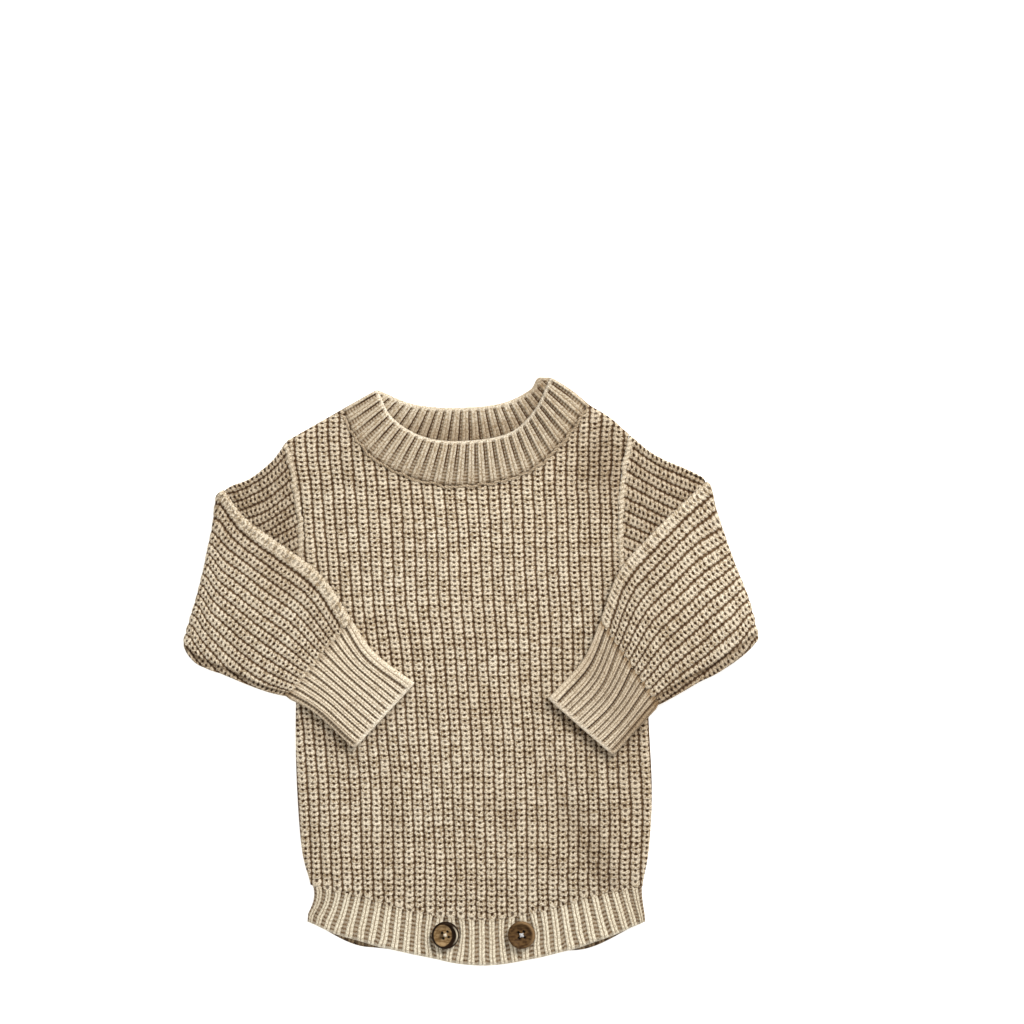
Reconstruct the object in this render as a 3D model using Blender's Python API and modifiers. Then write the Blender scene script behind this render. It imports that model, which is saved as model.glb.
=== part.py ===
"""A baby's long-sleeved romper in chunky rib knit, laid flat on its back, both sleeves folded over the front.

Each cut or knitted piece is one closed wall: a front and a back panel, two sleeves that turn back over
themselves, two cuffs, a neck band and a hem band in front and back halves, and two buttons at the crotch.
Sizes and tables are in millimetres and the meshes in metres. X runs to the viewer's right, Y from the hem
up to the neck and Z up, with the origin in the middle of the laid-out garment, on the surface it lies on.
"""

import math
from collections import namedtuple

import bmesh
import bpy
import numpy as np

MM = 0.001

# Cloth
WALL = 2.2  # one layer of the knit, without its ribs
RIB_HEIGHT = 0.9  # how far a rib stands out of the wall
LAYER_GAP = 0.4  # between the two layers of a flattened tube
SEAM_GAP = 0.4  # between two pieces along a seam
TUBE = 2 * WALL + LAYER_GAP  # height of two layers
FRONT_UNDERSIDE = WALL + LAYER_GAP
EDGE_DROP = 1.0  # how far an edge is rounded over

# Ribs on the wall that shows
LEFT_SHOULDER_RIBS, NECK_RIBS, RIGHT_SHOULDER_RIBS = 6, 23, 5
BODY_RIBS = LEFT_SHOULDER_RIBS + NECK_RIBS + RIGHT_SHOULDER_RIBS
SLEEVE_RIBS = 11
CUFF_RIBS = 12
NECK_BAND_RIBS = 27
BACK_BAND_RIBS = 23
BODY_ROWS = 16
BACK_COLUMNS = (4, 18, 4)  # left shoulder, neck and right shoulder
BAND_ROWS = (0.013, 0.3, 0.65, 0.92, 1.0)  # shares of a band's width, from its seam out

# Front, lying on the back
CROWN = 1.4  # how far the middle of the front stands above its edges
CROWN_HALF_WIDTH, CROWN_HALF_LENGTH = 125.0, 165.0

# Sleeve folds
FOLD_RADIUS = 0.8  # inside the turn, which leaves room for the ribs below the forearm
FOLD_TURNS = (0, 45, 90, 135, 180)  # degrees round the crease, from upper arm to forearm
FOREARM_BASE = TUBE + 2 * FOLD_RADIUS
BAND_BULGE = 2.4  # how far the neck band stands off the layers below

# Buttons
BUTTON_RADIUS = 9.4
BUTTON_HOLE_RADIUS = 0.9
BUTTON_HOLE_SPACING = 3.2
BUTTON_BASE = 6.9  # clear of the hem band's ribs at its tilt
BUTTON_STEPS = 28

CURVE_STEPS = 24  # points on each span of a smooth curve

Station = namedtuple("Station", "place x y")
Fold = namedtuple("Fold", "place x y length width angle height")
Section = namedtuple("Section", "place top_x top_y low_x low_y turn bow top_rib under_rib puff")
Button = namedtuple("Button", "name x y tilt turn colour")

LEFT_EDGE = (
    Station("hem seam", -114.8, -153.4),
    Station("hip", -121.6, -125.0),
    Station("belly", -125.4, -64.0),
    Station("waist", -125.0, -5.0),
    Station("underarm", -122.6, 42.5),
    Station("armhole", -120.4, 98.0),
    Station("above armhole", -125.8, 140.0),
    Station("shoulder", -132.1, 165.6),
)
RIGHT_EDGE = (
    Station("hem seam", 123.5, -154.1),
    Station("hip", 127.6, -125.0),
    Station("belly", 128.8, -64.0),
    Station("waist", 124.6, 4.0),
    Station("underarm", 110.4, 42.5),
    Station("armhole", 106.4, 98.0),
    Station("above armhole", 108.4, 140.0),
    Station("shoulder", 114.1, 170.6),
)
UNDERARM_ROW = 4  # of both edges above
HEM_SEAM = (
    Station("left side", -114.8, -153.4),
    Station("left leg", -78.1, -161.6),
    Station("left of crotch", -37.8, -172.8),
    Station("middle", 9.7, -178.2),
    Station("right of crotch", 52.0, -171.6),
    Station("right leg", 88.0, -161.0),
    Station("right side", 123.5, -154.1),
)
HEM_EDGE = (
    Station("left corner", -117.2, -180.0),
    Station("left leg", -89.0, -191.6),
    Station("left of crotch", -34.2, -205.2),
    Station("middle", 9.7, -211.7),
    Station("right of crotch", 57.2, -204.1),
    Station("right leg", 93.2, -193.4),
    Station("right corner", 125.8, -180.0),
)
BACK_HEM_EDGE = (
    Station("left corner", -116.6, -179.0),
    Station("left leg", -90.0, -195.6),
    Station("left of crotch", -58.0, -200.0),
    Station("middle", 9.7, -210.0),
    Station("right of crotch", 60.0, -202.0),
    Station("right leg", 91.0, -197.4),
    Station("right corner", 125.2, -179.0),
)
FRONT_NECK_SEAM = (
    Station("left shoulder", -91.8, 188.6),
    Station("left side", -79.6, 164.2),
    Station("left front", -53.6, 144.0),
    Station("middle", -11.2, 133.6),
    Station("right front", 37.1, 141.8),
    Station("right side", 66.6, 166.3),
    Station("right shoulder", 84.6, 192.2),
)
FRONT_NECK_EDGE = (
    Station("left tip", -67.0, 202.6),
    Station("left side", -55.8, 182.2),
    Station("left front", -33.5, 168.6),
    Station("middle", -5.4, 165.6),
    Station("right front", 27.0, 171.0),
    Station("right side", 45.6, 187.5),
    Station("right tip", 57.6, 211.4),
)
BACK_NECK_SEAM = (
    Station("left shoulder", -91.8, 188.6),
    Station("left back", -65.2, 167.0),
    Station("middle", -7.6, 159.1),
    Station("right back", 53.6, 170.0),
    Station("right shoulder", 84.6, 192.2),
)
BACK_NECK_EDGE = (
    Station("left tip", -66.4, 202.2),
    Station("left back", -40.0, 192.0),
    Station("middle", -8.0, 189.8),
    Station("right back", 26.0, 194.0),
    Station("right tip", 57.0, 211.0),
)

BODY_FOLDS = (
    Fold("valley to the right leg", 82.0, -130.0, 78.0, 17.0, -62.0, -1.5),
    Fold("ridge beside it", 104.0, -108.0, 70.0, 22.0, -66.0, 1.0),
    Fold("left hip ridge", -99.0, -118.0, 90.0, 22.0, -76.0, 1.3),
    Fold("left belly valley", -58.0, -108.0, 95.0, 16.0, -88.0, -0.7),
    Fold("middle belly valley", -14.0, -120.0, 70.0, 14.0, -90.0, -0.6),
    Fold("below the right neck", 92.0, 152.0, 46.0, 22.0, 70.0, -0.9),
    Fold("below the left neck", -92.0, 150.0, 52.0, 20.0, -64.0, -0.9),
)

LEFT_SLEEVE = (
    Section("armhole", -132.1, 165.6, -122.6, 42.5, 0, 0, 1, 0, 0),
    Section("upper arm", -143.0, 153.5, -147.0, 32.0, 0, 4, 1, 0, 0),
    Section("above the crease", -161.5, 138.4, -174.0, 19.5, 0, 1, 1, 0, 0),
    Section("crease", -182.5, 126.0, -205.2, 15.5, None, -2.7, 0.5, 1, 0),
    Section("forearm", -160.9, 109.4, -194.8, 4.3, 180, 0, 0, 1, 2.0),
    Section("middle of forearm", -133.6, 89.3, -174.6, -3.6, 180, 0, 0, 1, 2.8),
    Section("above the cuff", -106.9, 68.8, -153.0, -13.7, 180, 0, 0, 1, 2.8),
    Section("cuff seam", -85.3, 37.4, -132.1, -19.4, 180, 0, 0, 1, 1.2),
)
LEFT_CUFF = (
    Section("cuff seam", -85.3, 37.4, -132.1, -19.4, 180, 0, 0, 1, 1.2),
    Section("middle of cuff", -69.8, 14.4, -109.8, -29.5, 180, 0, 0, 1, 1.0),
    Section("cuff end", -40.7, -7.9, -83.2, -54.0, 180, 0, 0, 1, 0.4),
)
RIGHT_SLEEVE = (
    Section("armhole", 114.1, 170.6, 110.4, 42.5, 0, 0, 1, 0, 0),
    Section("upper arm", 132.0, 156.0, 142.0, 34.0, 0, 4, 1, 0, 0),
    Section("above the crease", 154.0, 144.6, 174.0, 26.0, 0, 1, 1, 0, 0),
    Section("crease", 173.4, 133.5, 206.4, 20.8, None, 0, 0.5, 1, 0),
    Section("forearm", 149.4, 118.1, 196.9, 10.1, 180, 0, 0, 1, 2.0),
    Section("middle of forearm", 127.1, 95.8, 177.5, -2.2, 180, 0, 0, 1, 2.8),
    Section("above the cuff", 106.2, 71.3, 156.0, -12.0, 180, 0, 0, 1, 2.8),
    Section("cuff seam", 93.2, 36.7, 134.0, -24.4, 180, 0, 0, 1, 1.2),
)
RIGHT_CUFF = (
    Section("cuff seam", 93.2, 36.7, 134.0, -24.4, 180, 0, 0, 1, 1.2),
    Section("middle of cuff", 81.0, 8.6, 118.6, -41.0, 180, 0, 0, 1, 1.0),
    Section("cuff end", 56.5, -18.7, 102.6, -59.0, 180, 0, 0, 1, 0.4),
)

BUTTONS = (
    Button("button_left", -18.0, -189.9, 4.0, 12.0, (0.030, 0.018, 0.012)),
    Button("button_right", 36.8, -190.1, -3.0, 45.0, (0.120, 0.070, 0.038)),
)

BODY_KNIT_COLOUR = (0.450, 0.350, 0.235)
RIB_KNIT_COLOUR = (0.540, 0.445, 0.320)


def clear_scene():
    for thing in list(bpy.data.objects):
        bpy.data.objects.remove(thing)


def make_material(name, colour, roughness):
    material = bpy.data.materials.new(name)
    material.use_nodes = True
    finish = material.node_tree.nodes["Principled BSDF"]
    finish.inputs["Base Color"].default_value = (*colour, 1.0)
    finish.inputs["Roughness"].default_value = roughness
    finish.inputs["Metallic"].default_value = 0.0
    material.diffuse_color = (*colour, 1.0)
    return material


def smooth_curve(stations):
    """A smooth curve through the stations, as a function of the share of its length, 0 to 1."""
    knots = np.array([(station.x, station.y) for station in stations])
    knots = np.vstack([2 * knots[0] - knots[1], knots, 2 * knots[-1] - knots[-2]])
    t = np.linspace(0, 1, CURVE_STEPS, endpoint=False)[:, None]
    spans = []
    for before, start, end, after in zip(knots, knots[1:], knots[2:], knots[3:]):
        bend = before - 2.5 * start + 2 * end - 0.5 * after
        twist = 1.5 * (start - end) + 0.5 * (after - before)
        spans.append(start + 0.5 * t * (end - before) + t**2 * bend + t**3 * twist)
    line = np.vstack([*spans, knots[-2:-1]])
    reach = np.concatenate([[0], np.cumsum(np.hypot(*np.diff(line, axis=0).T))])

    def at(share):
        return np.array([np.interp(share * reach[-1], reach, axis) for axis in line.T])

    at.line = line
    return at


def height_at(curve, x):
    """The y of a curve that runs left to right, at this x."""
    return np.interp(x, curve.line[:, 0], curve.line[:, 1])


def share_of_station(stations, row):
    """The share of a smooth curve's length at which it passes a station."""
    whole = smooth_curve(stations).line
    reach = np.concatenate([[0], np.cumsum(np.hypot(*np.diff(whole, axis=0).T))])
    return reach[row * CURVE_STEPS] / reach[-1]


def lie(x, y):
    """How far the front stands above its flat underside: a low crown and the soft folds."""
    across = max(0.0, 1 - (x / CROWN_HALF_WIDTH) ** 2)
    along = max(0.0, 1 - (y / CROWN_HALF_LENGTH) ** 2)
    height = CROWN * across * math.sqrt(along)
    for fold in BODY_FOLDS:
        angle = math.radians(fold.angle)
        forward = (x - fold.x) * math.cos(angle) + (y - fold.y) * math.sin(angle)
        sideways = (y - fold.y) * math.cos(angle) - (x - fold.x) * math.sin(angle)
        reach = (forward / (0.5 * fold.length)) ** 2 + (sideways / (0.5 * fold.width)) ** 2
        height += fold.height * math.exp(-reach)
    return max(0.0, height)


def rib(column):
    """Ribs stand on the odd columns of a wall, with a groove on each even one."""
    return RIB_HEIGHT * (column % 2)


def wall_piece(name, outer, inner, material, tube=False):
    """The wall between two grids of points, rows of columns, closed round its edges or round a tube."""
    mesh = bmesh.new()
    skins = [[[mesh.verts.new(point * MM) for point in row] for row in grid] for grid in (outer, inner)]
    rows = len(outer)
    columns = len(outer[0])
    steps = [(c, (c + 1) % columns) for c in range(columns if tube else columns - 1)]
    for skin in skins:
        for lower, upper in zip(skin, skin[1:]):
            for c, after in steps:
                mesh.faces.new((lower[c], lower[after], upper[after], upper[c]))
    for r in (0, rows - 1):
        for c, after in steps:
            mesh.faces.new((skins[0][r][c], skins[0][r][after], skins[1][r][after], skins[1][r][c]))
    for c in () if tube else (0, columns - 1):
        for r in range(rows - 1):
            mesh.faces.new((skins[0][r][c], skins[0][r + 1][c], skins[1][r + 1][c], skins[1][r][c]))
    bmesh.ops.recalc_face_normals(mesh, faces=mesh.faces)
    data = bpy.data.meshes.new(name)
    mesh.to_mesh(data)
    mesh.free()
    data.materials.append(material)
    data.shade_smooth()
    data.set_sharp_from_angle(angle=math.radians(50))
    return bpy.data.objects.new(name, data)


def top_edge(neck_seam, left_columns, neck_columns, right_columns, upright):
    """The shoulders and neck seam, as a point for each column of a panel.

    Upright columns are evenly spaced from left to right, as ribs are, and others along the seam.
    """
    left, right = smooth_curve(LEFT_EDGE)(1), smooth_curve(RIGHT_EDGE)(1)
    start, end = neck_seam(0), neck_seam(1)
    points = [left + (start - left) * c / left_columns for c in range(left_columns)]
    for share in np.arange(neck_columns) / neck_columns:
        x = start[0] + (end[0] - start[0]) * share
        points.append(np.array([x, height_at(neck_seam, x)]) if upright else neck_seam(share))
    points += [end + (right - end) * c / right_columns for c in range(right_columns + 1)]
    return points


def panel_plan(top, rows):
    """Plan points of a body panel, stretched between its hem seam, sides and top edge."""
    columns = len(top)
    hem, left, right = smooth_curve(HEM_SEAM), smooth_curve(LEFT_EDGE), smooth_curve(RIGHT_EDGE)
    grid = []
    for up in np.linspace(0, 1, rows):
        row = []
        for c, top_point in enumerate(top):
            across = c / (columns - 1)
            between = (1 - up) * hem(across) + up * top_point
            straight_left = (1 - up) * hem(0) + up * top[0]
            straight_right = (1 - up) * hem(1) + up * top[-1]
            sides = (1 - across) * (left(up) - straight_left) + across * (right(up) - straight_right)
            row.append(between + sides)
        grid.append(row)
    return grid


def on_edge(r, c, rows, columns):
    """Whether a panel's point is on its free sides or shoulders, where the cloth rounds over."""
    return c in (0, columns - 1) or r == rows - 1


def front_panel(material):
    columns = (2 * LEFT_SHOULDER_RIBS, 2 * NECK_RIBS, 2 * RIGHT_SHOULDER_RIBS)
    plan = panel_plan(top_edge(smooth_curve(FRONT_NECK_SEAM), *columns, upright=True), BODY_ROWS)
    outer, inner = [], []
    for r, row in enumerate(plan):
        under = [FRONT_UNDERSIDE + lie(x, y) for x, y in row]
        above = [
            low + WALL - EDGE_DROP if on_edge(r, c, BODY_ROWS, len(row)) else low + WALL + rib(c)
            for c, low in enumerate(under)
        ]
        inner.append(np.column_stack([row, under]))
        outer.append(np.column_stack([row, above]))
    return wall_piece("front_panel", outer, inner, material)


def back_panel(material):
    """Plain on both sides: it lies flat on the surface below, and the front hides its other side."""
    neck = smooth_curve(BACK_NECK_SEAM)
    plan = panel_plan(top_edge(neck, *BACK_COLUMNS, upright=False), BODY_ROWS)
    outer, inner = [], []
    for r, row in enumerate(plan):
        under = [EDGE_DROP if on_edge(r, c, BODY_ROWS, len(row)) else 0.0 for c in range(len(row))]
        outer.append(np.column_stack([row, under]))
        inner.append(np.column_stack([row, [WALL] * len(row)]))
    return wall_piece("back_panel", outer, inner, material)


def band_plan(seam, edge, columns):
    shares = np.linspace(0, 1, columns)
    return [[seam(s) + (edge(s) - seam(s)) * v for s in shares] for v in BAND_ROWS]


def neck_band_front(material):
    """Stands a little off the neck opening, and turns down to meet the back half at its two ends."""
    columns = 2 * NECK_BAND_RIBS + 1
    plan = band_plan(smooth_curve(FRONT_NECK_SEAM), smooth_curve(FRONT_NECK_EDGE), columns)
    outer, inner = [], []
    for v, row in zip(BAND_ROWS, plan):
        under, above = [], []
        for c, (x, y) in enumerate(row):
            ends = math.sqrt(max(0.0, math.sin(math.pi * c / (columns - 1))))
            low = FRONT_UNDERSIDE + lie(x, y) + BAND_BULGE * ends * math.sin(0.75 * math.pi * v)
            rounded = v == 1 or c in (0, columns - 1)
            under.append(low)
            above.append(low + WALL - EDGE_DROP if rounded else low + WALL + rib(c))
        inner.append(np.column_stack([row, under]))
        outer.append(np.column_stack([row, above]))
    return wall_piece("neck_band_front", outer, inner, material)


def neck_band_back(material):
    """Lies flat, with its ribs showing on its upper side inside the neck opening."""
    columns = 2 * BACK_BAND_RIBS + 1
    plan = band_plan(smooth_curve(BACK_NECK_SEAM), smooth_curve(BACK_NECK_EDGE), columns)
    outer, inner = [], []
    for v, row in zip(BAND_ROWS, plan):
        above = []
        for c in range(columns):
            from_end = min(c, columns - 1 - c) / (columns - 1)
            shows = min(1.0, max(0.0, (from_end - 0.06) / 0.08)) * min(1.0, max(0.0, v / 0.3 - 0.1))
            above.append(WALL + rib(c) * shows - (EDGE_DROP if v == 1 else 0.0))
        outer.append(np.column_stack([row, above]))
        inner.append(np.column_stack([row, np.zeros(columns)]))
    return wall_piece("neck_band_back", outer, inner, material)


def hem_band_front(material):
    columns = 2 * BODY_RIBS + 1
    plan = band_plan(smooth_curve(HEM_SEAM), smooth_curve(HEM_EDGE), columns)
    outer, inner = [], []
    for v, row in zip(BAND_ROWS, plan):
        under = [FRONT_UNDERSIDE + lie(x, y) for x, y in row]
        above = [
            low + WALL - EDGE_DROP if v == 1 or c in (0, columns - 1) else low + WALL + rib(c)
            for c, low in enumerate(under)
        ]
        inner.append(np.column_stack([row, under]))
        outer.append(np.column_stack([row, above]))
    return wall_piece("hem_band_front", outer, inner, material)


def hem_band_back(material):
    plan = band_plan(smooth_curve(HEM_SEAM), smooth_curve(BACK_HEM_EDGE), sum(BACK_COLUMNS) + 1)
    outer, inner = [], []
    for v, row in zip(BAND_ROWS, plan):
        columns = len(row)
        under = [EDGE_DROP if v == 1 or c in (0, columns - 1) else 0.0 for c in range(columns)]
        outer.append(np.column_stack([row, under]))
        inner.append(np.column_stack([row, [WALL] * columns]))
    return wall_piece("hem_band_back", outer, inner, material)


def tube_ring(width, ribs, section):
    """One flattened section of a tube: (distance across, height) of its outer and its inner points.

    It runs along the top layer, round the low edge, back along the bottom layer and round the top edge.
    The bottom layer is the one that a fold brings to the outside, so its ribs and puff hang below 0.
    """
    bend = TUBE / 2
    hollow = LAYER_GAP / 2
    flat = width - 2 * bend
    corners = [math.radians(a) for a in (45, 90, 135)]
    outer, inner = [], []
    for c in range(2 * ribs + 1):
        across = bend + flat * c / (2 * ribs)
        outer.append((across, TUBE + section.top_rib * rib(c)))
        inner.append((across, TUBE - WALL))
    for a in corners:
        outer.append((width - bend + bend * math.sin(a), bend + bend * math.cos(a)))
        inner.append((width - bend + hollow * math.sin(a), bend + hollow * math.cos(a)))
    for c in range(2 * ribs + 1):
        across = width - bend - flat * c / (2 * ribs)
        puff = section.puff * math.sin(math.pi * c / (2 * ribs))
        outer.append((across, -section.under_rib * rib(c) - puff))
        inner.append((across, WALL - puff))
    for a in corners:
        outer.append((bend - bend * math.sin(a), bend - bend * math.cos(a)))
        inner.append((bend - hollow * math.sin(a), bend - hollow * math.cos(a)))
    return outer, inner


def crease_rows(section):
    """The rows of a fold: the section at its crease, once for each turn round it."""
    for turn in FOLD_TURNS:
        outside = 0.5 * (1 - math.cos(math.radians(turn)))
        yield section._replace(turn=turn, top_rib=section.top_rib * (1 - outside), under_rib=outside)


def tube_piece(name, sections, ribs, side, material, seam_edge=None):
    """A flattened tube through its sections, turning back over itself where a section is a crease.

    side is -1 for the left of the garment and 1 for the right. seam_edge gives the plan line of the first
    section where that isn't straight, such as an armhole.
    """
    outer, inner = [], []
    for number, section in enumerate(sections):
        crease = section.turn is None
        for row in crease_rows(section) if crease else (section,):
            top, low = np.array([row.top_x, row.top_y]), np.array([row.low_x, row.low_y])
            width = np.hypot(*(low - top))
            outward = np.array([top[1] - low[1], low[0] - top[0]]) / width * side
            inset = FOLD_RADIUS + TUBE if crease else 0.0
            turn = math.radians(row.turn)
            for skin, points in zip((outer, inner), tube_ring(width, ribs, row)):
                ring = []
                for across, height in points:
                    share = across / width
                    bow = row.bow * 4 * share * (1 - share)
                    place = top + (low - top) * share + outward * (bow - inset)
                    if seam_edge and number == 0:
                        place = seam_edge(share)
                    radius = FOLD_RADIUS + TUBE - height
                    place = place + outward * radius * math.sin(turn)
                    rise = FOLD_RADIUS + TUBE - radius * math.cos(turn)
                    rise += lie(*place) * outside_share(turn)
                    ring.append(np.array([place[0], place[1], rise]))
                skin.append(ring)
    return wall_piece(name, outer, inner, material, tube=True)


def outside_share(turn):
    """0 for the part of a sleeve that lies on the surface below, 1 for the part that lies on the body."""
    return 0.5 * (1 - math.cos(turn))


def moved_toward(section, other, distance):
    """The section with both its ends moved this far toward the other section."""
    ends = []
    for x, y, other_x, other_y in (
        (section.top_x, section.top_y, other.top_x, other.top_y),
        (section.low_x, section.low_y, other.low_x, other.low_y),
    ):
        share = distance / math.hypot(other_x - x, other_y - y)
        ends += [x + (other_x - x) * share, y + (other_y - y) * share]
    return section._replace(top_x=ends[0], top_y=ends[1], low_x=ends[2], low_y=ends[3])


def sleeve(name, sections, body_edge, side, material):
    """From the armhole to the cuff seam, folded over at its crease."""
    edge = smooth_curve(body_edge)
    underarm = share_of_station(body_edge, UNDERARM_ROW)

    def armhole(share):
        return edge(1 - share * (1 - underarm)) + np.array([side * SEAM_GAP, 0.0])

    shortened = [*sections[:-1], moved_toward(sections[-1], sections[-2], SEAM_GAP / 2)]
    return tube_piece(name, shortened, SLEEVE_RIBS, side, material, armhole)


def cuff(name, sections, side, material):
    shortened = [moved_toward(sections[0], sections[1], SEAM_GAP / 2), *sections[1:]]
    return tube_piece(name, shortened, CUFF_RIBS, side, material)


def button(row, cutters):
    """A turned button with a raised rim round a shallow dish, and four holes for its thread."""
    rim = BUTTON_RADIUS
    profile = (
        (0.0, 2.6),
        (0.50 * rim, 2.7),
        (0.66 * rim, 3.5),
        (0.80 * rim, 4.1),
        (0.94 * rim, 3.4),
        (rim, 2.2),
        (0.95 * rim, 1.0),
        (0.70 * rim, 0.0),
        (0.0, 0.0),
    )
    mesh = bmesh.new()
    points = [mesh.verts.new((x * MM, 0.0, z * MM)) for x, z in profile]
    for first, second in zip(points, points[1:]):
        mesh.edges.new((first, second))
    data = bpy.data.meshes.new(row.name)
    mesh.to_mesh(data)
    mesh.free()
    data.materials.append(make_material(row.name + "_horn", row.colour, 0.3))
    piece = bpy.data.objects.new(row.name, data)
    turned = piece.modifiers.new("Turned", "SCREW")
    turned.axis = "Z"
    turned.steps = BUTTON_STEPS
    turned.render_steps = BUTTON_STEPS
    turned.use_merge_vertices = True
    turned.merge_threshold = 0.00005
    holes = hole_cutter(row.name + "_holes")
    cutters.objects.link(holes)
    cut = piece.modifiers.new("Thread holes", "BOOLEAN")
    cut.operation = "DIFFERENCE"
    cut.object = holes
    place = (row.x * MM, row.y * MM, BUTTON_BASE * MM)
    turn = (math.radians(row.tilt), math.radians(row.tilt), math.radians(row.turn))
    for thing in (piece, holes):
        thing.location = place
        thing.rotation_euler = turn
    return piece


def hole_cutter(name):
    mesh = bmesh.new()
    offset = BUTTON_HOLE_SPACING / 2 * MM
    for x in (-offset, offset):
        for y in (-offset, offset):
            made = bmesh.ops.create_cone(
                mesh,
                cap_ends=True,
                segments=8,
                radius1=BUTTON_HOLE_RADIUS * MM,
                radius2=BUTTON_HOLE_RADIUS * MM,
                depth=12 * MM,
            )
            bmesh.ops.translate(mesh, verts=made["verts"], vec=(x, y, 0.0))
    data = bpy.data.meshes.new(name)
    mesh.to_mesh(data)
    mesh.free()
    cutter = bpy.data.objects.new(name, data)
    cutter.hide_render = True
    cutter.display_type = "WIRE"
    return cutter


def main():
    clear_scene()
    garment = bpy.data.collections.new("Baby romper")
    cutters = bpy.data.collections.new("Cutters")
    for collection in (garment, cutters):
        bpy.context.scene.collection.children.link(collection)
    body_knit = make_material("body_knit", BODY_KNIT_COLOUR, 0.95)
    rib_knit = make_material("rib_knit", RIB_KNIT_COLOUR, 0.95)
    pieces = [
        back_panel(body_knit),
        front_panel(body_knit),
        neck_band_back(rib_knit),
        neck_band_front(rib_knit),
        hem_band_back(rib_knit),
        hem_band_front(rib_knit),
        sleeve("sleeve_left", LEFT_SLEEVE, LEFT_EDGE, -1, body_knit),
        sleeve("sleeve_right", RIGHT_SLEEVE, RIGHT_EDGE, 1, body_knit),
        cuff("cuff_left", LEFT_CUFF, -1, rib_knit),
        cuff("cuff_right", RIGHT_CUFF, 1, rib_knit),
        *(button(row, cutters) for row in BUTTONS),
    ]
    origin = bpy.data.objects.new("romper", None)
    garment.objects.link(origin)
    for piece in pieces:
        garment.objects.link(piece)
        piece.parent = origin


main()
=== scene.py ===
import math
from functools import partial

import bmesh
import bpy
import numpy as np
from mathutils import Euler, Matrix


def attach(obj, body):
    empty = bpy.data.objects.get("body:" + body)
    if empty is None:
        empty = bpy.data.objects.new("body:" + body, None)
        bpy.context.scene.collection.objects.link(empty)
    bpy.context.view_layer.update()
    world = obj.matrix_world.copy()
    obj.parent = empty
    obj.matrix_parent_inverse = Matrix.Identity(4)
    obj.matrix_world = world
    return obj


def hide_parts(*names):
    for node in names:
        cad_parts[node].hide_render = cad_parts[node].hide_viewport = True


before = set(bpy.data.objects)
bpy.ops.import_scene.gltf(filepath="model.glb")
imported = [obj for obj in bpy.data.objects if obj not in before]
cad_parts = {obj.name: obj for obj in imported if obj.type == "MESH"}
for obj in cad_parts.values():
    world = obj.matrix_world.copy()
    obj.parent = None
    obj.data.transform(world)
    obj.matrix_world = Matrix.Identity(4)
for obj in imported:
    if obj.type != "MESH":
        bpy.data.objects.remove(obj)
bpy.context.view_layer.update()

# A baby's romper in chunky rib knit, laid flat, both sleeves folded over the front.
# Lengths are in mm until a mesh is written. X is across, Y runs from hem to neck, Z is up.
mm = 0.001

cloth = {
    "wall": 2.2,  # one layer without its ribs
    "tube": 4.8,  # two layers
    "frontUnder": 2.6,  # underside of the front, on top of the back
    "foldRadius": 0.8,  # inside the turn of a sleeve
    "crown": (1.4, 125.0, 165.0),  # height, half width, half length
}


# ---- curves and small sums ----
knotSteps = 24  # places on a curve from one knot to the next


def unit(vectors):
    return vectors / np.maximum(1e-9, np.linalg.norm(vectors, axis=-1, keepdims=True))


def runAlong(points):  # how far along each point lies, also for many lines side by side
    steps = np.linalg.norm(np.diff(points, axis=0), axis=-1)
    return np.concatenate([0 * steps[:1], np.cumsum(steps, axis=0)])


def smoothThrough(knots, steps):  # a smooth line through points, or a smooth tube through rings
    knots = np.concatenate([[2 * knots[0] - knots[1]], knots, [2 * knots[-1] - knots[-2]]])
    made = []
    for a, b, c, d in zip(knots, knots[1:], knots[2:], knots[3:]):
        bend, twist = a - 2.5 * b + 2 * c - 0.5 * d, 1.5 * (b - c) + 0.5 * (d - a)
        for t in np.linspace(0, 1, steps, endpoint=False):
            made.append(b + 0.5 * t * (c - a) + t**2 * bend + t**3 * twist)
    return np.array([*made, knots[-2]])


def measured(line):
    return {"line": line, "run": runAlong(line)}


def smoothCurve(*points):
    return measured(smoothThrough(np.array(points, float), knotSteps))


def placeAt(curve, reach):  # this many mm along
    return np.stack([np.interp(reach, curve["run"], axis) for axis in curve["line"].T], axis=-1)


def pointAt(curve, share):
    return placeAt(curve, np.asarray(share, float) * curve["run"][-1])


def shareOfKnot(curve, knot):
    return curve["run"][knot * knotSteps] / curve["run"][-1]


def most(*amounts):  # the highest at each place
    return np.max(amounts, axis=0)


def toEnd(share):  # from the nearer end
    return np.minimum(share, 1 - share)


def ease(value, low, high):
    t = np.clip((value - low) / (high - low), 0, 1)
    return t * t * (3 - 2 * t)


def bump(value, centre, width):
    return np.exp(-(((value - centre) / width) ** 2))


def scatter(a, b, seed=0.0):  # the same chance value each run, 0 to 1
    return np.modf(np.abs(np.sin(a * 12.9898 + b * 78.233 + seed * 37.719) * 43758.5453))[0]


def drift(x, y, size, seed=0.0):  # slow unevenness, about -1 to 1
    a, b = x / size, y / size
    return (
        np.sin(1.7 * a + 0.6 * b + 1.3 * seed)
        + np.sin(0.5 * a - 1.9 * b + 2.1 * seed + 1.1)
        + np.sin(1.1 * a + 1.3 * b - 0.7 * seed + 4.2)
    ) / 3


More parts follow.
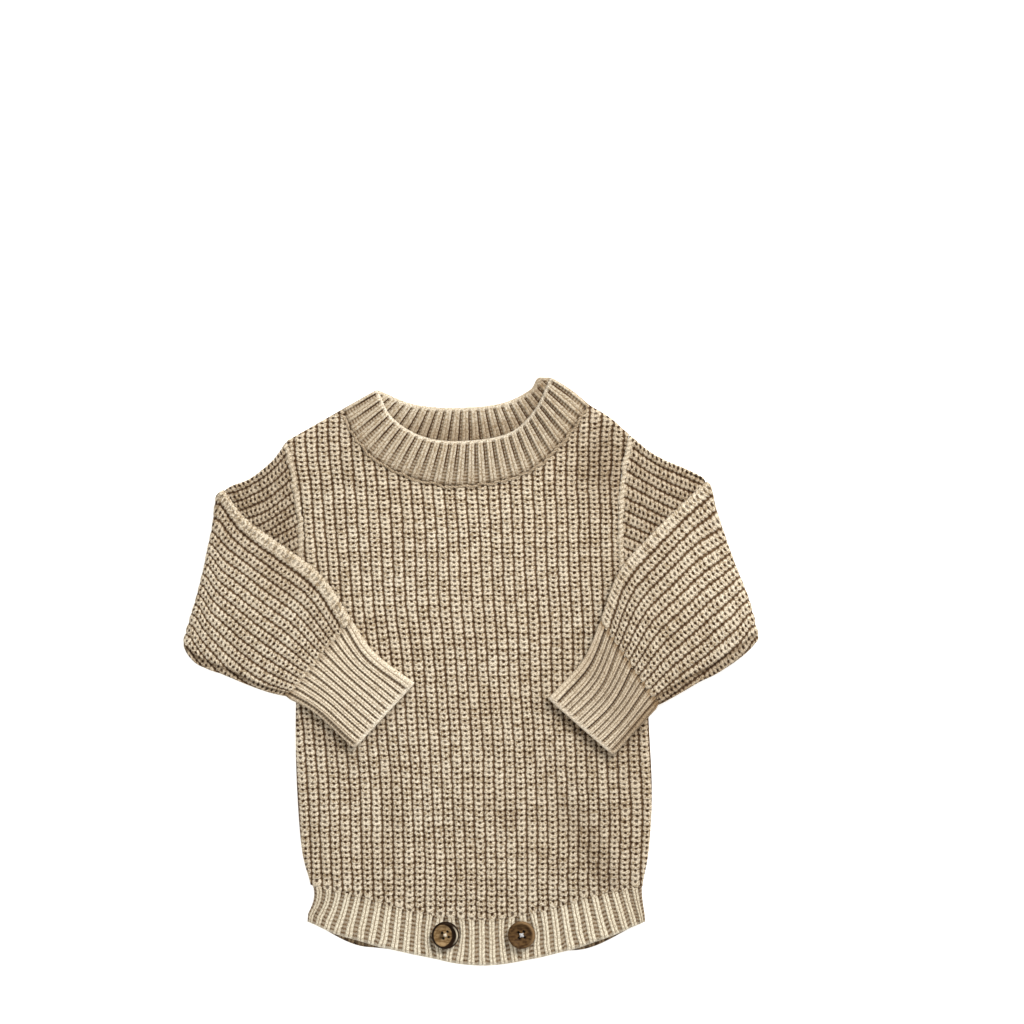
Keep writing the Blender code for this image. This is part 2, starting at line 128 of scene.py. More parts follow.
# ---- outlines, the solids' own but for two points of the back hem's edge ----
leftSide = smoothCurve(
    (-114.8, -153.4), (-121.6, -125.0), (-125.4, -64.0), (-125.0, -5.0),
    (-122.6, 42.5), (-120.4, 98.0), (-125.8, 140.0), (-132.1, 165.6),
)
rightSide = smoothCurve(
    (123.5, -154.1), (127.6, -125.0), (128.8, -64.0), (124.6, 4.0),
    (110.4, 42.5), (106.4, 98.0), (108.4, 140.0), (114.1, 170.6),
)
hemSeam = smoothCurve(
    (-114.8, -153.4), (-78.1, -161.6), (-37.8, -172.8), (9.7, -178.2),
    (52.0, -171.6), (88.0, -161.0), (123.5, -154.1),
)
hemEdge = smoothCurve(
    (-117.2, -180.0), (-89.0, -191.6), (-34.2, -205.2), (9.7, -211.7),
    (57.2, -204.1), (93.2, -193.4), (125.8, -180.0),
)
backHemEdge = smoothCurve(
    (-116.6, -179.0), (-85.0, -195.8), (-58.0, -200.0), (9.7, -210.0),
    (60.0, -202.0), (88.4, -197.9), (125.2, -179.0),
)
frontNeckSeam = smoothCurve(
    (-91.8, 188.6), (-79.6, 164.2), (-53.6, 144.0), (-11.2, 133.6),
    (37.1, 141.8), (66.6, 166.3), (84.6, 192.2),
)
frontNeckEdge = smoothCurve(
    (-67.0, 202.6), (-55.8, 182.2), (-33.5, 168.6), (-5.4, 165.6),
    (27.0, 171.0), (45.6, 187.5), (57.6, 211.4),
)
backNeckSeam = smoothCurve(
    (-91.8, 188.6), (-65.2, 167.0), (-7.6, 159.1), (53.6, 170.0), (84.6, 192.2)
)
backNeckEdge = smoothCurve(
    (-66.4, 202.2), (-40.0, 192.0), (-8.0, 189.8), (26.0, 194.0), (57.0, 211.0)
)
underarmKnot = 4  # of both sides

# Soft folds of the front: x, y, length, width, angle, height
bodyFolds = [
    (82.0, -130.0, 78.0, 17.0, -62.0, -1.5),
    (104.0, -108.0, 70.0, 22.0, -66.0, 1.0),
    (-99.0, -118.0, 90.0, 22.0, -76.0, 1.3),
    (-58.0, -108.0, 95.0, 16.0, -88.0, -0.7),
    (-14.0, -120.0, 70.0, 14.0, -90.0, -0.6),
    (92.0, 152.0, 46.0, 22.0, 70.0, -0.9),
    (-92.0, 150.0, 52.0, 20.0, -64.0, -0.9),
]


def foldHeight(x, y, folds):
    height = np.zeros_like(x)
    for foldX, foldY, length, width, angle, rise in folds:
        c, s = math.cos(math.radians(angle)), math.sin(math.radians(angle))
        forward = (x - foldX) * c + (y - foldY) * s
        sideways = (y - foldY) * c - (x - foldX) * s
        height += rise * np.exp(-((forward / (0.5 * length)) ** 2) - (sideways / (0.5 * width)) ** 2)
    return height


def lie(x, y):  # how far the front stands above its flat underside
    crown, halfWidth, halfLength = cloth["crown"]
    across = np.clip(1 - (x / halfWidth) ** 2, 0, None)
    upward = np.clip(1 - (y / halfLength) ** 2, 0, None)
    return np.maximum(0, crown * across * np.sqrt(upward) + foldHeight(x, y, bodyFolds))


def ground(x, y):  # what the wall of the front and of the hem stands on
    return cloth["frontUnder"] + lie(x, y)


# ---- knitting ----
# Both stitches read ribs and rows, so that relief and colour share one map.
fisherman = {  # the body and sleeves: fat ribs of open V stitches
    "depth": 1.6,  # rib top to groove
    "slant": 0.28,  # rows that a stitch climbs from the middle to the edge of a rib
    "gap": 0.12,  # between two rows
    "hole": 1.1,  # in the middle of the rib, between two rows
    "sink": 0.6,  # how much of the depth lies below the plain wall
}
pairedRib = {  # bands and cuffs: two smooth wales, then a purl valley
    "slit": 0.35,  # between the two wales
    "purl": 0.28,  # bumps in the valley
    "sink": 0.6,
}


def toWhole(value):  # 1 at a whole number, 0 halfway between two
    return 1 - 2 * np.abs(value - np.round(value))


def fromMiddle(rib):  # 0 in the middle of a rib, 1 between two
    return 2 * np.abs(rib - np.floor(rib) - 0.5)


def fishermanRelief(rib, row):
    beside = fromMiddle(rib)
    climb = row - fisherman["slant"] * beside
    parting = ease(toWhole(climb), 0.3, 1.0)
    chance = scatter(np.floor(rib), np.floor(climb))
    height = fisherman["depth"] * (1 - beside**3.2)
    height -= fisherman["gap"] * parting * (0.5 + chance)
    height -= fisherman["hole"] * bump(beside, 0, 0.3) * ease(toWhole(row), 0.3, 0.9) * (0.6 + 0.7 * chance)
    height -= 0.3 * ease(beside, 0.6, 0.95) * parting
    height += 0.22 * (chance - 0.5) + 0.15 * (scatter(np.floor(rib), 7.0) - 0.5)
    return height - fisherman["sink"]


def pairedRelief(rib, row, valley, depth):
    beside = fromMiddle(rib)
    shoulder = 1 - valley
    height = depth * (1 - ease(beside, shoulder - 0.14, shoulder + 0.2))
    height -= pairedRib["slit"] * bump(beside, 0, 0.16)
    height -= 0.12 * ease(toWhole(row + 0.5 * beside), 0.3, 1.0)
    height += pairedRib["purl"] * ease(beside, shoulder, 1) * np.abs(np.sin(math.pi * row))
    return height - pairedRib["sink"]


def insideOf(outline, x, y):
    inside = np.zeros(len(x), bool)
    for (ax, ay), (bx, by) in zip(outline, np.roll(outline, -1, axis=0)):
        if ay != by:
            crosses = ((ay > y) != (by > y)) & (x < (bx - ax) * (y - ay) / (by - ay) + ax)
            inside ^= crosses
    return inside


def nearest(line, x, y):  # the nearest place on a line, how far it is, and the way the line runs there
    curve = measured(line)
    whole, step, batch = curve["run"][-1], 0.4, 4000
    dense = placeAt(curve, np.linspace(0, whole, int(whole / step) + 2))
    index = np.empty(len(x), int)
    far = np.empty(len(x))
    for start in range(0, len(x), batch):
        part = slice(start, start + batch)
        apart = (x[part, None] - dense[:, 0]) ** 2 + (y[part, None] - dense[:, 1]) ** 2
        index[part] = apart.argmin(axis=1)
        far[part] = np.sqrt(apart.min(axis=1))
    return dense[index], far, unit(np.gradient(dense, axis=0))[index], index / len(dense)


def gapTo(x, y, *lines):  # how far the nearest of these lines is
    return np.min([nearest(line, x, y)[1] for line in lines], axis=0)


def only(parts, kind):  # of what an operator made
    return [part for part in parts if isinstance(part, kind)]


def put(name, data):
    thing = bpy.data.objects.new(name, data)
    bpy.context.collection.objects.link(thing)
    return thing


# A sheet of knitting on a fine grid. plan(u, v) lays it out, and an outline trims it; shape gives each point,
# its ribs and rows, and marks such as how much painted shade it gets.
def knitSheet(
    name, across, rows, shape, plan=None, outline=None, wrapped=False, turned=False, under=None, skin=None
):
    grid = bmesh.new()
    bmesh.ops.create_grid(grid, x_segments=across, y_segments=rows, size=0.5)
    data = bpy.data.meshes.new(name)
    if outline is not None:
        flat = np.array([vert.co[:2] for vert in grid.verts]) + 0.5
        x, y = plan(flat[:, 0], flat[:, 1])
        inside = insideOf(outline, x, y)
        outer = [face for face in grid.faces if not any(inside[vert.index] for vert in face.verts)]
        for vert, ax, ay in zip(grid.verts, x, y):
            vert.co = (ax, ay, 0 if inside[vert.index] else 1)
        bmesh.ops.delete(grid, geom=outer, context="FACES")
    grid.to_mesh(data)
    flat = np.empty(len(data.vertices) * 3)
    data.vertices.foreach_get("co", flat)
    flat = flat.reshape(-1, 3)
    if outline is None:
        points, ribs, courses, marks = shape(flat[:, 0] + 0.5, flat[:, 1] + 0.5)
    else:
        beyond = flat[:, 2] > 0.5
        flat[beyond, :2] = nearest(outline, flat[beyond, 0], flat[beyond, 1])[0]
        points, ribs, courses, marks = shape(*flat.T[:2])
    data.vertices.foreach_set("co", (points * mm).ravel())
    corners = np.empty(len(data.loops), int)
    data.loops.foreach_get("vertex_index", corners)
    knitMap = data.uv_layers.new(name="knit")
    knitMap.data.foreach_set("uv", np.column_stack([ribs, courses])[corners].ravel())
    for markName, values in marks.items():
        mark = data.attributes.new(markName, "FLOAT", "POINT")
        mark.data.foreach_set("value", np.clip(values, 0, 1) * np.ones(len(points)))
    grid.clear()
    grid.from_mesh(data)
    if turned:
        bmesh.ops.reverse_faces(grid, faces=grid.faces)
    rim = [edge for edge in grid.edges if edge.is_boundary]
    if wrapped:
        rimVerts = list(dict.fromkeys(vert for edge in rim for vert in edge.verts))
        bmesh.ops.remove_doubles(grid, verts=rimVerts, dist=0.01 * mm)
        if turned is None:
            bmesh.ops.recalc_face_normals(grid, faces=grid.faces)
    if under is not None:  # down to a flat underside
        lower = bmesh.ops.extrude_edge_only(grid, edges=rim)["geom"]
        for vert in only(lower, bmesh.types.BMVert):
            vert.co.z = under * mm
        edges = [edge for edge in only(lower, bmesh.types.BMEdge) if edge.is_boundary]
        filled = bmesh.ops.holes_fill(grid, edges=edges, sides=0)["faces"]
        bmesh.ops.triangulate(grid, faces=filled, quad_method="BEAUTY", ngon_method="EAR_CLIP")
        bmesh.ops.recalc_face_normals(grid, faces=grid.faces)
    if skin is not None:  # a plain inner side
        made = bmesh.ops.extrude_face_region(grid, geom=list(grid.faces), use_keep_orig=True)["geom"]
        upper = set(only(made, bmesh.types.BMVert))
        for number, vert in enumerate(vert for vert in grid.verts if vert not in upper):
            vert.co = np.array(skin[number]) * mm
        bmesh.ops.recalc_face_normals(grid, faces=grid.faces)
    grid.to_mesh(data)
    grid.free()
    data.shade_smooth()
    piece = put(name, data)
    data.calc_loop_triangles()
    print("made", name, len(data.loop_triangles), "triangles")
    return piece


# ---- materials ----
def plug(socket, value):  # a link, or a value of the socket's own
    if isinstance(value, bpy.types.NodeSocket):
        socket.id_data.links.new(value, socket)
    elif value is not None:
        socket.default_value = value


def fill(node, values):
    for label, value in values.items():
        plug(node.inputs[label], value)


def addNode(tree, kind, *values, **settings):
    node = tree.nodes.new("ShaderNode" + kind)
    for name, value in settings.items():
        setattr(node, name, value)
    for socket, value in zip(node.inputs, values):
        plug(socket, value)
    return node


def sums(operation, *values):  # the first socket among the values says in which tree
    tree = next(value.id_data for value in values if isinstance(value, bpy.types.NodeSocket))
    return addNode(tree, "Math", *values, operation=operation).outputs[0]


plus, less, times = (partial(sums, operation) for operation in ("ADD", "SUBTRACT", "MULTIPLY"))


def easeNode(value, low, high, start=0.0, end=1.0):
    node = addNode(value.id_data, "MapRange", value, low, high, start, end, interpolation_type="SMOOTHSTEP")
    return node.outputs[0]


def mixColour(mask, first, second, how="MIX"):
    node = addNode(mask.id_data, "Mix", mask, data_type="RGBA", blend_type=how)
    for socket, value in zip(node.inputs[6:8], (first, second)):
        plug(socket, (*value, 1.0) if isinstance(value, tuple) else value)
    return node.outputs[2]


def noise(where, scale, detail, output="Fac"):
    return addNode(where.id_data, "TexNoise", where, None, scale, detail).outputs[output]


def wavering(knit, amount):  # no stitch lies quite true
    waver = noise(knit, 1.3, 1.0, "Color")
    for operation, value in (("SUBTRACT", (0.5, 0.5, 0.5)), ("MULTIPLY", amount), ("ADD", knit)):
        waver = addNode(knit.id_data, "VectorMath", waver, value, operation=operation).outputs[0]
    return addNode(knit.id_data, "SeparateXYZ", waver).outputs[:2]


def apartFrom(value, share):  # how far its fraction is from this one
    return sums("ABSOLUTE", less(sums("FRACT", value), share))


def fromHalf(value):  # 0 halfway between two whole numbers, 1 at a whole number
    return times(apartFrom(value, 0.5), 2.0)


def startGroup(name, place, *amounts):
    tree = bpy.data.node_groups.new(name, "ShaderNodeTree")
    tree.interface.new_socket(place, in_out="INPUT", socket_type="NodeSocketVector")
    for label in amounts:
        tree.interface.new_socket(label, in_out="INPUT", socket_type="NodeSocketFloat")
    return tree, tree.nodes.new("NodeGroupInput").outputs


def endGroup(tree, **results):
    for label in results:
        tree.interface.new_socket(label, in_out="OUTPUT", socket_type="NodeSocketFloat")
    fill(tree.nodes.new("NodeGroupOutput"), results)
    return tree


def fishermanGroup():
    tree, given = startGroup("fishermanStitch", "Knit")
    rib, row = wavering(given["Knit"], (0.26, 0.42, 0.0))
    beside, level = fromHalf(rib), fromHalf(row)
    near = fromHalf(less(row, times(beside, fisherman["slant"])))
    cell = addNode(tree, "CombineXYZ", sums("FLOOR", rib), sums("FLOOR", plus(row, 0.5))).outputs[0]
    chance = addNode(tree, "TexWhiteNoise", cell, noise_dimensions="2D").outputs["Value"]
    gap = easeNode(near, 0.66, 1.0)
    square = times(near, near)
    groove = easeNode(plus(beside, times(square, 0.17)), 0.74, 0.95)
    bead = easeNode(plus(beside, times(square, 0.36)), 0.86, 1.08)
    aside, above = sums("DIVIDE", beside, 0.34), sums("DIVIDE", less(1.0, level), 0.62)
    hole = easeNode(plus(times(aside, aside), times(above, above)), 0.25, 1.2, 1.0, 0.0)
    height = times(less(1.0, times(gap, 0.35)), less(1.0, groove))
    height = less(height, times(hole, 0.6))
    return endGroup(tree, Groove=groove, Bead=bead, Hole=hole, Gap=gap, Chance=chance, Height=height)


def pairedGroup():
    tree, given = startGroup("pairedRib", "Knit", "Valley", "Bind")
    rib, row = wavering(given["Knit"], (0.1, 0.3, 0.0))
    beside, plain = fromHalf(rib), less(1.0, given["Bind"])
    valley = times(easeNode(less(beside, less(1.0, given["Valley"])), -0.06, 0.08), plain)
    # Core: a painted shadow line along one side of each valley, off its middle.
    core = times(easeNode(apartFrom(rib, 0.88), 0.03, 0.125, 1.0, 0.0), plain)
    slit = times(easeNode(beside, 0.01, 0.16, 1.0, 0.0), plain)
    purl = easeNode(apartFrom(row, 0.5), 0.1, 0.4)
    stroke = easeNode(fromHalf(plus(row, times(beside, 0.9))), 0.55, 1.0)
    height = less(less(1.0, times(valley, 0.6)), times(stroke, 0.25))
    height = less(height, times(slit, 0.25))
    return endGroup(tree, Valley=valley, Core=core, Slit=slit, Stroke=stroke, Purl=purl, Height=height)


def yarnGroup():
    tree, given = startGroup("yarn", "Place")
    sizes = {"Fibre": (1500.0, 3.0), "Heather": (850.0, 2.0), "Cloud": (22.0, 2.0)}
    return endGroup(tree, **{label: noise(given["Place"], *size) for label, size in sizes.items()})


stitchGroup, ribGroup, yarnFibres = fishermanGroup(), pairedGroup(), yarnGroup()

# gap, groove and deep paint the shade of the knit's recesses: row gaps, grooves, beads, holes, slits, strokes,
# valley flecks and the shadow line in rib valleys.
yarnColours = {
    "light": (0.84, 0.744, 0.586),
    "shade": (0.35, 0.262, 0.16),
    "gap": (0.22, 0.145, 0.08),
    "groove": (0.205, 0.13, 0.07),
    "rim": (0.93, 0.86, 0.73),  # cast-off edges
    "deep": (0.055, 0.026, 0.010),
}


def startMaterial(name, roughness):
    material = bpy.data.materials.new(name)
    material.use_nodes = True
    shader = material.node_tree.nodes["Principled BSDF"]
    plug(shader.inputs["Roughness"], roughness)
    return material, shader, addNode(material.node_tree, "TexCoord").outputs["Object"]


def useGroup(tree, group, **values):
    node = addNode(tree, "Group", node_tree=group)
    fill(node, values)
    return node.outputs


def yarnMaterial(name, roughness):
    material, shader, place = startMaterial(name, roughness)
    return material, shader, useGroup(material.node_tree, yarnFibres, Place=place)


def useStitch(tree, group, **values):
    return useGroup(tree, group, Knit=addNode(tree, "UVMap", uv_map="knit").outputs["UV"], **values)


def markNode(tree, name):
    return addNode(tree, "Attribute", attribute_type="GEOMETRY", attribute_name=name).outputs["Fac"]


def bumped(height, strength, distance):
    relief = addNode(height.id_data, "Bump")
    fill(relief, {"Height": height, "Strength": strength, "Distance": distance * mm})
    return relief.outputs[0]


def tint(colour, shade, mask, amount=None):  # towards one of the yarn's colours
    return mixColour(mask if amount is None else times(mask, amount), colour, yarnColours[shade])


def finishYarn(shader, colour, height, fibres, strength):
    cloud = times(easeNode(fibres["Cloud"], 0.3, 0.7), 0.22)
    colour = mixColour(cloud, colour, (0.80, 0.72, 0.62), "MULTIPLY")
    # Painted shade: this mark pulls the yarn towards a warm brown wherever a piece's shape asks for shade.
    colour = mixColour(markNode(shader.id_data, "hollow"), colour, (0.36, 0.28, 0.20), "MULTIPLY")
    height = plus(height, times(fibres["Heather"], 0.9))
    fill(shader, {
        "Base Color": colour, "Normal": bumped(height, strength, 0.7),
        "Sheen Weight": 0.06, "Sheen Roughness": 0.5, "Specular IOR Level": 0.1,
    })


def heathered(fibres, light, low, high, chance=None):  # light and dark strands twisted together
    strand = fibres["Heather"]
    if chance is not None:
        strand = plus(strand, times(less(chance, 0.5), 0.12))
    colour = tint(light, "shade", easeNode(strand, low, high))
    return tint(colour, "shade", easeNode(fibres["Fibre"], 0.47, 0.62), 0.7)


def bodyMaterial():
    material, shader, fibres = yarnMaterial("bodyKnit", 0.92)
    stitch = useStitch(shader.id_data, stitchGroup)
    chance, shown = stitch["Chance"], less(1.0, markNode(shader.id_data, "shut"))
    colour = heathered(fibres, yarnColours["light"], 0.42, 0.66, chance)
    # Painted shade in the stitch's recesses: row gaps, grooves between ribs, their beads and the holes are
    # darkened.
    colour = tint(colour, "gap", stitch["Gap"], times(easeNode(chance, 0.0, 1.0, 0.35, 0.8), shown))
    colour = tint(colour, "groove", stitch["Groove"])
    colour = tint(colour, "deep", stitch["Bead"], easeNode(chance, 0.0, 1.0, 0.55, 1.0))
    colour = tint(colour, "deep", stitch["Hole"], times(easeNode(chance, 0.0, 0.6, 0.8, 1.0), shown))
    finishYarn(shader, colour, stitch["Height"], fibres, 0.8)
    return material


def ribMaterial(name, valley, core, slit, stroke, tone, low, high, dark, rim):
    material, shader, fibres = yarnMaterial(name, 0.9)
    bind = markNode(shader.id_data, "bind")
    stitch = useStitch(shader.id_data, ribGroup, Valley=valley, Bind=bind)
    light = tuple(min(0.93, tone * value) for value in yarnColours["light"])
    colour = heathered(fibres, light, low, high)
    # Painted shade in the crevices: strokes and the slit between wales darken, the purl valley is darkened to a
    # flecked brown with a painted highlight on its bumps, and the core is a painted shadow line.
    colour = tint(colour, "gap", stitch["Stroke"], stroke)
    colour = tint(colour, "gap", stitch["Slit"], slit)
    purl = tint(yarnColours["shade"], "gap", easeNode(fibres["Heather"], 0.4, 0.56))
    purl = tint(purl, "deep", easeNode(fibres["Fibre"], 0.46, 0.6), dark)
    purl = tint(purl, "light", stitch["Purl"], 0.38)
    colour = mixColour(stitch["Valley"], colour, purl)
    colour = tint(colour, "deep", times(stitch["Core"], core), markNode(shader.id_data, "core"))
    colour = tint(colour, "rim", bind, easeNode(fibres["Fibre"], 0.44, 0.56, rim, 0.0))
    finishYarn(shader, colour, stitch["Height"], fibres, 0.6)
    return material


def linkMaterial():
    material, shader, fibres = yarnMaterial("linkYarn", 0.92)
    colour = heathered(fibres, yarnColours["light"], 0.46, 0.72)
    finishYarn(shader, colour, fibres["Fibre"], fibres, 0.8)
    return material


bodyKnit, linkYarn = bodyMaterial(), linkMaterial()
# Share of the valley; how dark its painted shade is in the core line, slit and strokes; tone; where strands turn
# dark; valley flecks; rim
hemKnit = ribMaterial("hemKnit", 0.43, 0.9, 0.9, 0.3, 1.14, 0.56, 0.86, 0.95, 0.5)
neckKnit = ribMaterial("neckKnit", 0.4, 1.0, 0.8, 0.3, 0.83, 0.42, 0.68, 0.55, 0.7)
innerNeckKnit = ribMaterial("innerNeckKnit", 0.24, 1.0, 0.6, 0.2, 0.83, 0.42, 0.68, 0.6, 0.2)
cuffKnit = ribMaterial("cuffKnit", 0.3, 1.0, 0.75, 0.25, 1.1, 0.48, 0.76, 0.5, 0.6)


def dress(piece, material, slot, *nodes):
    piece.data.materials.append(material)
    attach(piece, "root")
    if nodes:
        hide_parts(*nodes)
    return piece


def linkedRow(name, line, pitch, width, thick, slant=0.25, wander=0.4, dim=0.0):  # a raised row of linked loops
    curve = measured(line)
    whole = curve["run"][-1]
    count = int(whole / pitch)

    def shape(u, v):
        centre, ahead, back = (placeAt(curve, v * whole + step) for step in (0, 1, -1))
        way = unit(ahead - back)
        angle = 2 * math.pi * u
        phase = count * v + slant * np.cos(angle)
        bead = np.abs(np.sin(math.pi * phase)) ** 0.7
        size = (0.65 + 0.35 * bead) * (0.75 + 0.45 * scatter(np.floor(phase), width))
        size *= np.sqrt(np.clip(toEnd(v) * count, 0, 1))
        aside = wander * drift(*centre.T[:2], 3.0, width) + width * size * np.cos(angle)
        points = centre + np.column_stack([-way[:, 1] * aside, way[:, 0] * aside, thick * size * np.sin(angle)])
        # Painted shade between the loops, and dim adds painted shade to the whole row.
        return points, 2 * u, count * v, {"hollow": dim + 0.8 * (1 - bead)}

    return dress(knitSheet(name, 10, count * 6, shape, wrapped=True, turned=None), linkYarn, "body_knit")


# ---- body ----
body = {
    "middleRib": 15,
    # at some heights y: x of the groove that starts the middle rib, and the ribs' pitch
    "ribLines": smoothCurve(
        (-220, 12.4, 7.38), (-143, 11.2, 7.38), (-93, 10.2, 7.44), (-35, 7.2, 7.52), (8, 4.5, 7.68),
        (51, 1.2, 7.84), (112, -1.9, 7.92), (134, -3.4, 7.96), (160, -4.2, 8.15), (215, -4.2, 8.2),
    ),
    "ribs": (-4, 32),  # the grid's, wide enough for the whole outline
    "rowPitch": 3.85,
    "upperPitch": 3.45,  # the rows lie closer above the belly
    "rows": (51, 157),
    "edge": 3.8,  # how far in the sides start to round over
}
heights = np.linspace(-220, 230, 900)
closer = 1 / body["upperPitch"] - 1 / body["rowPitch"]
rowLine = heights / body["rowPitch"] + closer * np.maximum(0, heights - 55) + 100


def ribLine(y):
    place, middle, pitch = body["ribLines"]["line"].T
    return np.interp(y, place, middle), np.interp(y, place, pitch)


def rowSlip(rib, along):  # no rib lies quite level with its neighbours
    lower = np.floor(rib - 0.5)
    left, right = (0.22 * drift(37.0 * each, along, 24.0, 9.0) for each in (lower, lower + 1))
    return left + (right - left) * ease(rib - 0.5 - lower, 0.3, 0.7)


def ribAndRow(x, y):
    middle, pitch = ribLine(y)
    rib = body["middleRib"] + (x - middle) / pitch
    return rib, np.interp(y, heights, rowLine) + rowSlip(rib, y)


def knitPlan(u, v):
    (firstRib, lastRib), (firstRow, lastRow) = body["ribs"], body["rows"]
    y = np.interp(firstRow + (lastRow - firstRow) * v, rowLine, heights)
    middle, pitch = ribLine(y)
    return middle + (firstRib + (lastRib - firstRib) * u - body["middleRib"]) * pitch, y


def bodyOutline(neckSeam):  # closed, its last point being its first
    lines = (hemSeam["line"], rightSide["line"][1:], neckSeam["line"][::-1], leftSide["line"][::-1])
    return np.vstack(lines)


def rounded(distance, radius):  # 1 at an edge, 0 from this far in
    inside = np.clip(1 - distance / radius, 0, 1)
    return 1 - np.sqrt(1 - inside**2)


shoulderLines = [
    np.vstack([leftSide["line"][-1:], frontNeckSeam["line"][:1]]),
    np.vstack([frontNeckSeam["line"][-1:], rightSide["line"][-1:]]),
]

# Where the front lies a little in shade: x, y, length, width, angle, amount
shades = [
    (96.0, 152.0, 60.0, 46.0, 90.0, 0.48), (-92.0, 152.0, 50.0, 40.0, 90.0, 0.18),
    (86.0, -128.0, 95.0, 18.0, -60.0, 0.3), (-58.0, -112.0, 100.0, 16.0, 90.0, 0.1),
    (130.0, 0.0, 600.0, 170.0, 90.0, 0.2), (-50.0, 118.0, 80.0, 16.0, 90.0, 0.08),
    (-106.0, -47.0, 60.0, 13.0, -34.0, 0.4), (-59.5, -33.7, 60.0, 9.0, 49.0, 0.35),
    (77.7, -41.6, 64.0, 13.0, -40.0, 0.45), (120.8, -41.4, 40.0, 10.0, 52.0, 0.4),  # beside the cuffs
]


def frontShape(x, y):
    rib, row = ribAndRow(x, y)
    sides = gapTo(x, y, leftSide["line"], rightSide["line"])
    shoulders = gapTo(x, y, *shoulderLines)
    neck, hem = gapTo(x, y, frontNeckSeam["line"]), gapTo(x, y, hemSeam["line"])
    inner = ease(np.min([sides, shoulders, neck, hem], axis=0), 0, 12)
    x = x + inner * (0.7 * drift(x, y, 24.0, 1.0) + 0.25 * drift(x, y, 5.0, 4.0))
    y = y + inner * 0.5 * drift(x, y, 11.0, 2.0)
    shoulder = 1.4 * ease(x, 84, 99) * (1 - ease(x, 100, 114)) * bump(shoulders, 0, 9)  # the right one bulges
    x, y = x + 0.59 * shoulder + 1.7 * ease(x, 108, 126) * bump(y, -95, 42), y + 0.8 * shoulder
    armhole = ease(y, 38, 50)  # above the underarm
    over = most(
        (0.96 - 0.5 * armhole) * rounded(sides, body["edge"]), 0.96 * rounded(shoulders, body["edge"]),
        0.3 * rounded(neck, 2.4), 0.25 * rounded(hem, 2.0),
    )
    z = ground(x, y) + (cloth["wall"] + fishermanRelief(rib, row)) * (1 - over)
    y = y - 2.2 * (1 - fromMiddle(rib)) * bump(hem, 0, 3.0)  # each rib ends in a point
    # Painted shade: darker beside the neck seam and the armhole sides, and where the shades table lays shade,
    # such as the shadows beside the cuffs.
    hollow = most(0.4 * bump(neck, 0, 3.5), 0.25 * armhole * bump(sides, 0, 2.5)) + foldHeight(x, y, shades)
    return np.column_stack([x, y, z]), rib, row, {"hollow": hollow}


def backShape(x, y):  # its outside faces down, so its relief is cut upwards
    rib, row = ribAndRow(x, y)
    edge = rounded(gapTo(x, y, bodyOutline(backNeckSeam)), 3.6)
    relief = fishermanRelief(rib, row) - (fisherman["depth"] - fisherman["sink"] + 0.2)
    z = np.maximum(-0.8 * relief * (1 - edge) + 2.1 * edge, 0)
    return np.column_stack([x, y, z]), rib, row, {"hollow": 0.0}


def knitBody(name, neckSeam, shape, perRib, perRow, **more):
    ribs, rows = (int(b - a) for a, b in (body["ribs"], body["rows"]))
    outline = bodyOutline(neckSeam)
    return knitSheet(name, ribs * perRib, rows * perRow, shape, plan=knitPlan, outline=outline, **more)


frontPiece = knitBody("front", frontNeckSeam, frontShape, 8, 4, under=cloth["frontUnder"])
dress(frontPiece, bodyKnit, "body_knit", "front_panel")
backPiece = knitBody("back", backNeckSeam, backShape, 6, 3, turned=True, under=cloth["wall"])
dress(backPiece, bodyKnit, "body_knit", "back_panel")


def seamLine(curve, start, end, aside, height):
    line = pointAt(curve, np.linspace(start, end, 160))
    way = unit(np.gradient(line, axis=0))
    x, y = (line + aside * np.column_stack([way[:, 1], -way[:, 0]])).T
    return np.column_stack([x, y, height(x, y)])


for name, curve, side in (("left", leftSide, -1), ("right", rightSide, 1)):
    low = shareOfKnot(curve, underarmKnot)
    line = seamLine(curve, low, 0.995, side * 1.4, lambda x, y: 4.6 + 0.8 * ease(y, 84, 108))
    linkedRow("armhole_row_" + name, line, 3.5, 2.2, 1.5, wander=0.7)
line = seamLine(frontNeckSeam, 0.02, 0.98, 1.0, lambda x, y: ground(x, y) + 2.9)
linkedRow("neck_row", line, 2.6, 1.15, 0.9, 0.6, 1.3, 0.45)


# ---- bands ----
bands = {  # a size is a middling length and depth
    "hemSize": (250, 28),
    "hemRows": 10.4,
    "hemRib": (0.46, 1.5),  # share of the valley, depth
    "backHemSize": (250, 27),
    "backHemRibs": 33,
    "neckSize": (220, 33),
    "neckRibs": 27,
    "backNeckSize": (160, 28),
    "backNeckRibs": 23,
    "bulge": 2.4,  # how far the neck band stands off the layers below
    "buttonPush": 3.0,  # how far the ribs part round a button
    "flare": 0.022,  # the hem's ribs lean outwards on the way down, most of all near the sides
}
buttons = {  # reach and thick are its thread's
    "left": {"place": (-18.0, -188.8), "tilt": 4.0, "turn": 12.0, "reach": 1.4, "thick": 1.2},
    "right": {"place": (36.8, -188.8), "tilt": -3.0, "turn": 8.0, "reach": 2.0, "thick": 1.0},
}
buttonSize = {"radius": 9.9, "base": 6.9, "spacing": 3.9}


def bandPlan(u, v, seam, edge, flare=0.0):
    start = pointAt(seam, u)
    lean = (u * np.exp(1 - u / 0.09) - (1 - u) * np.exp(1 - (1 - u) / 0.09)) / 0.09
    return (start + (pointAt(edge, u - flare * lean) - start) * v[:, None]).T


def margins(u, v, size):  # mm from the nearer end, from the seam and from the edge
    return toEnd(u) * size[0], v * size[1], (1 - v) * size[1]


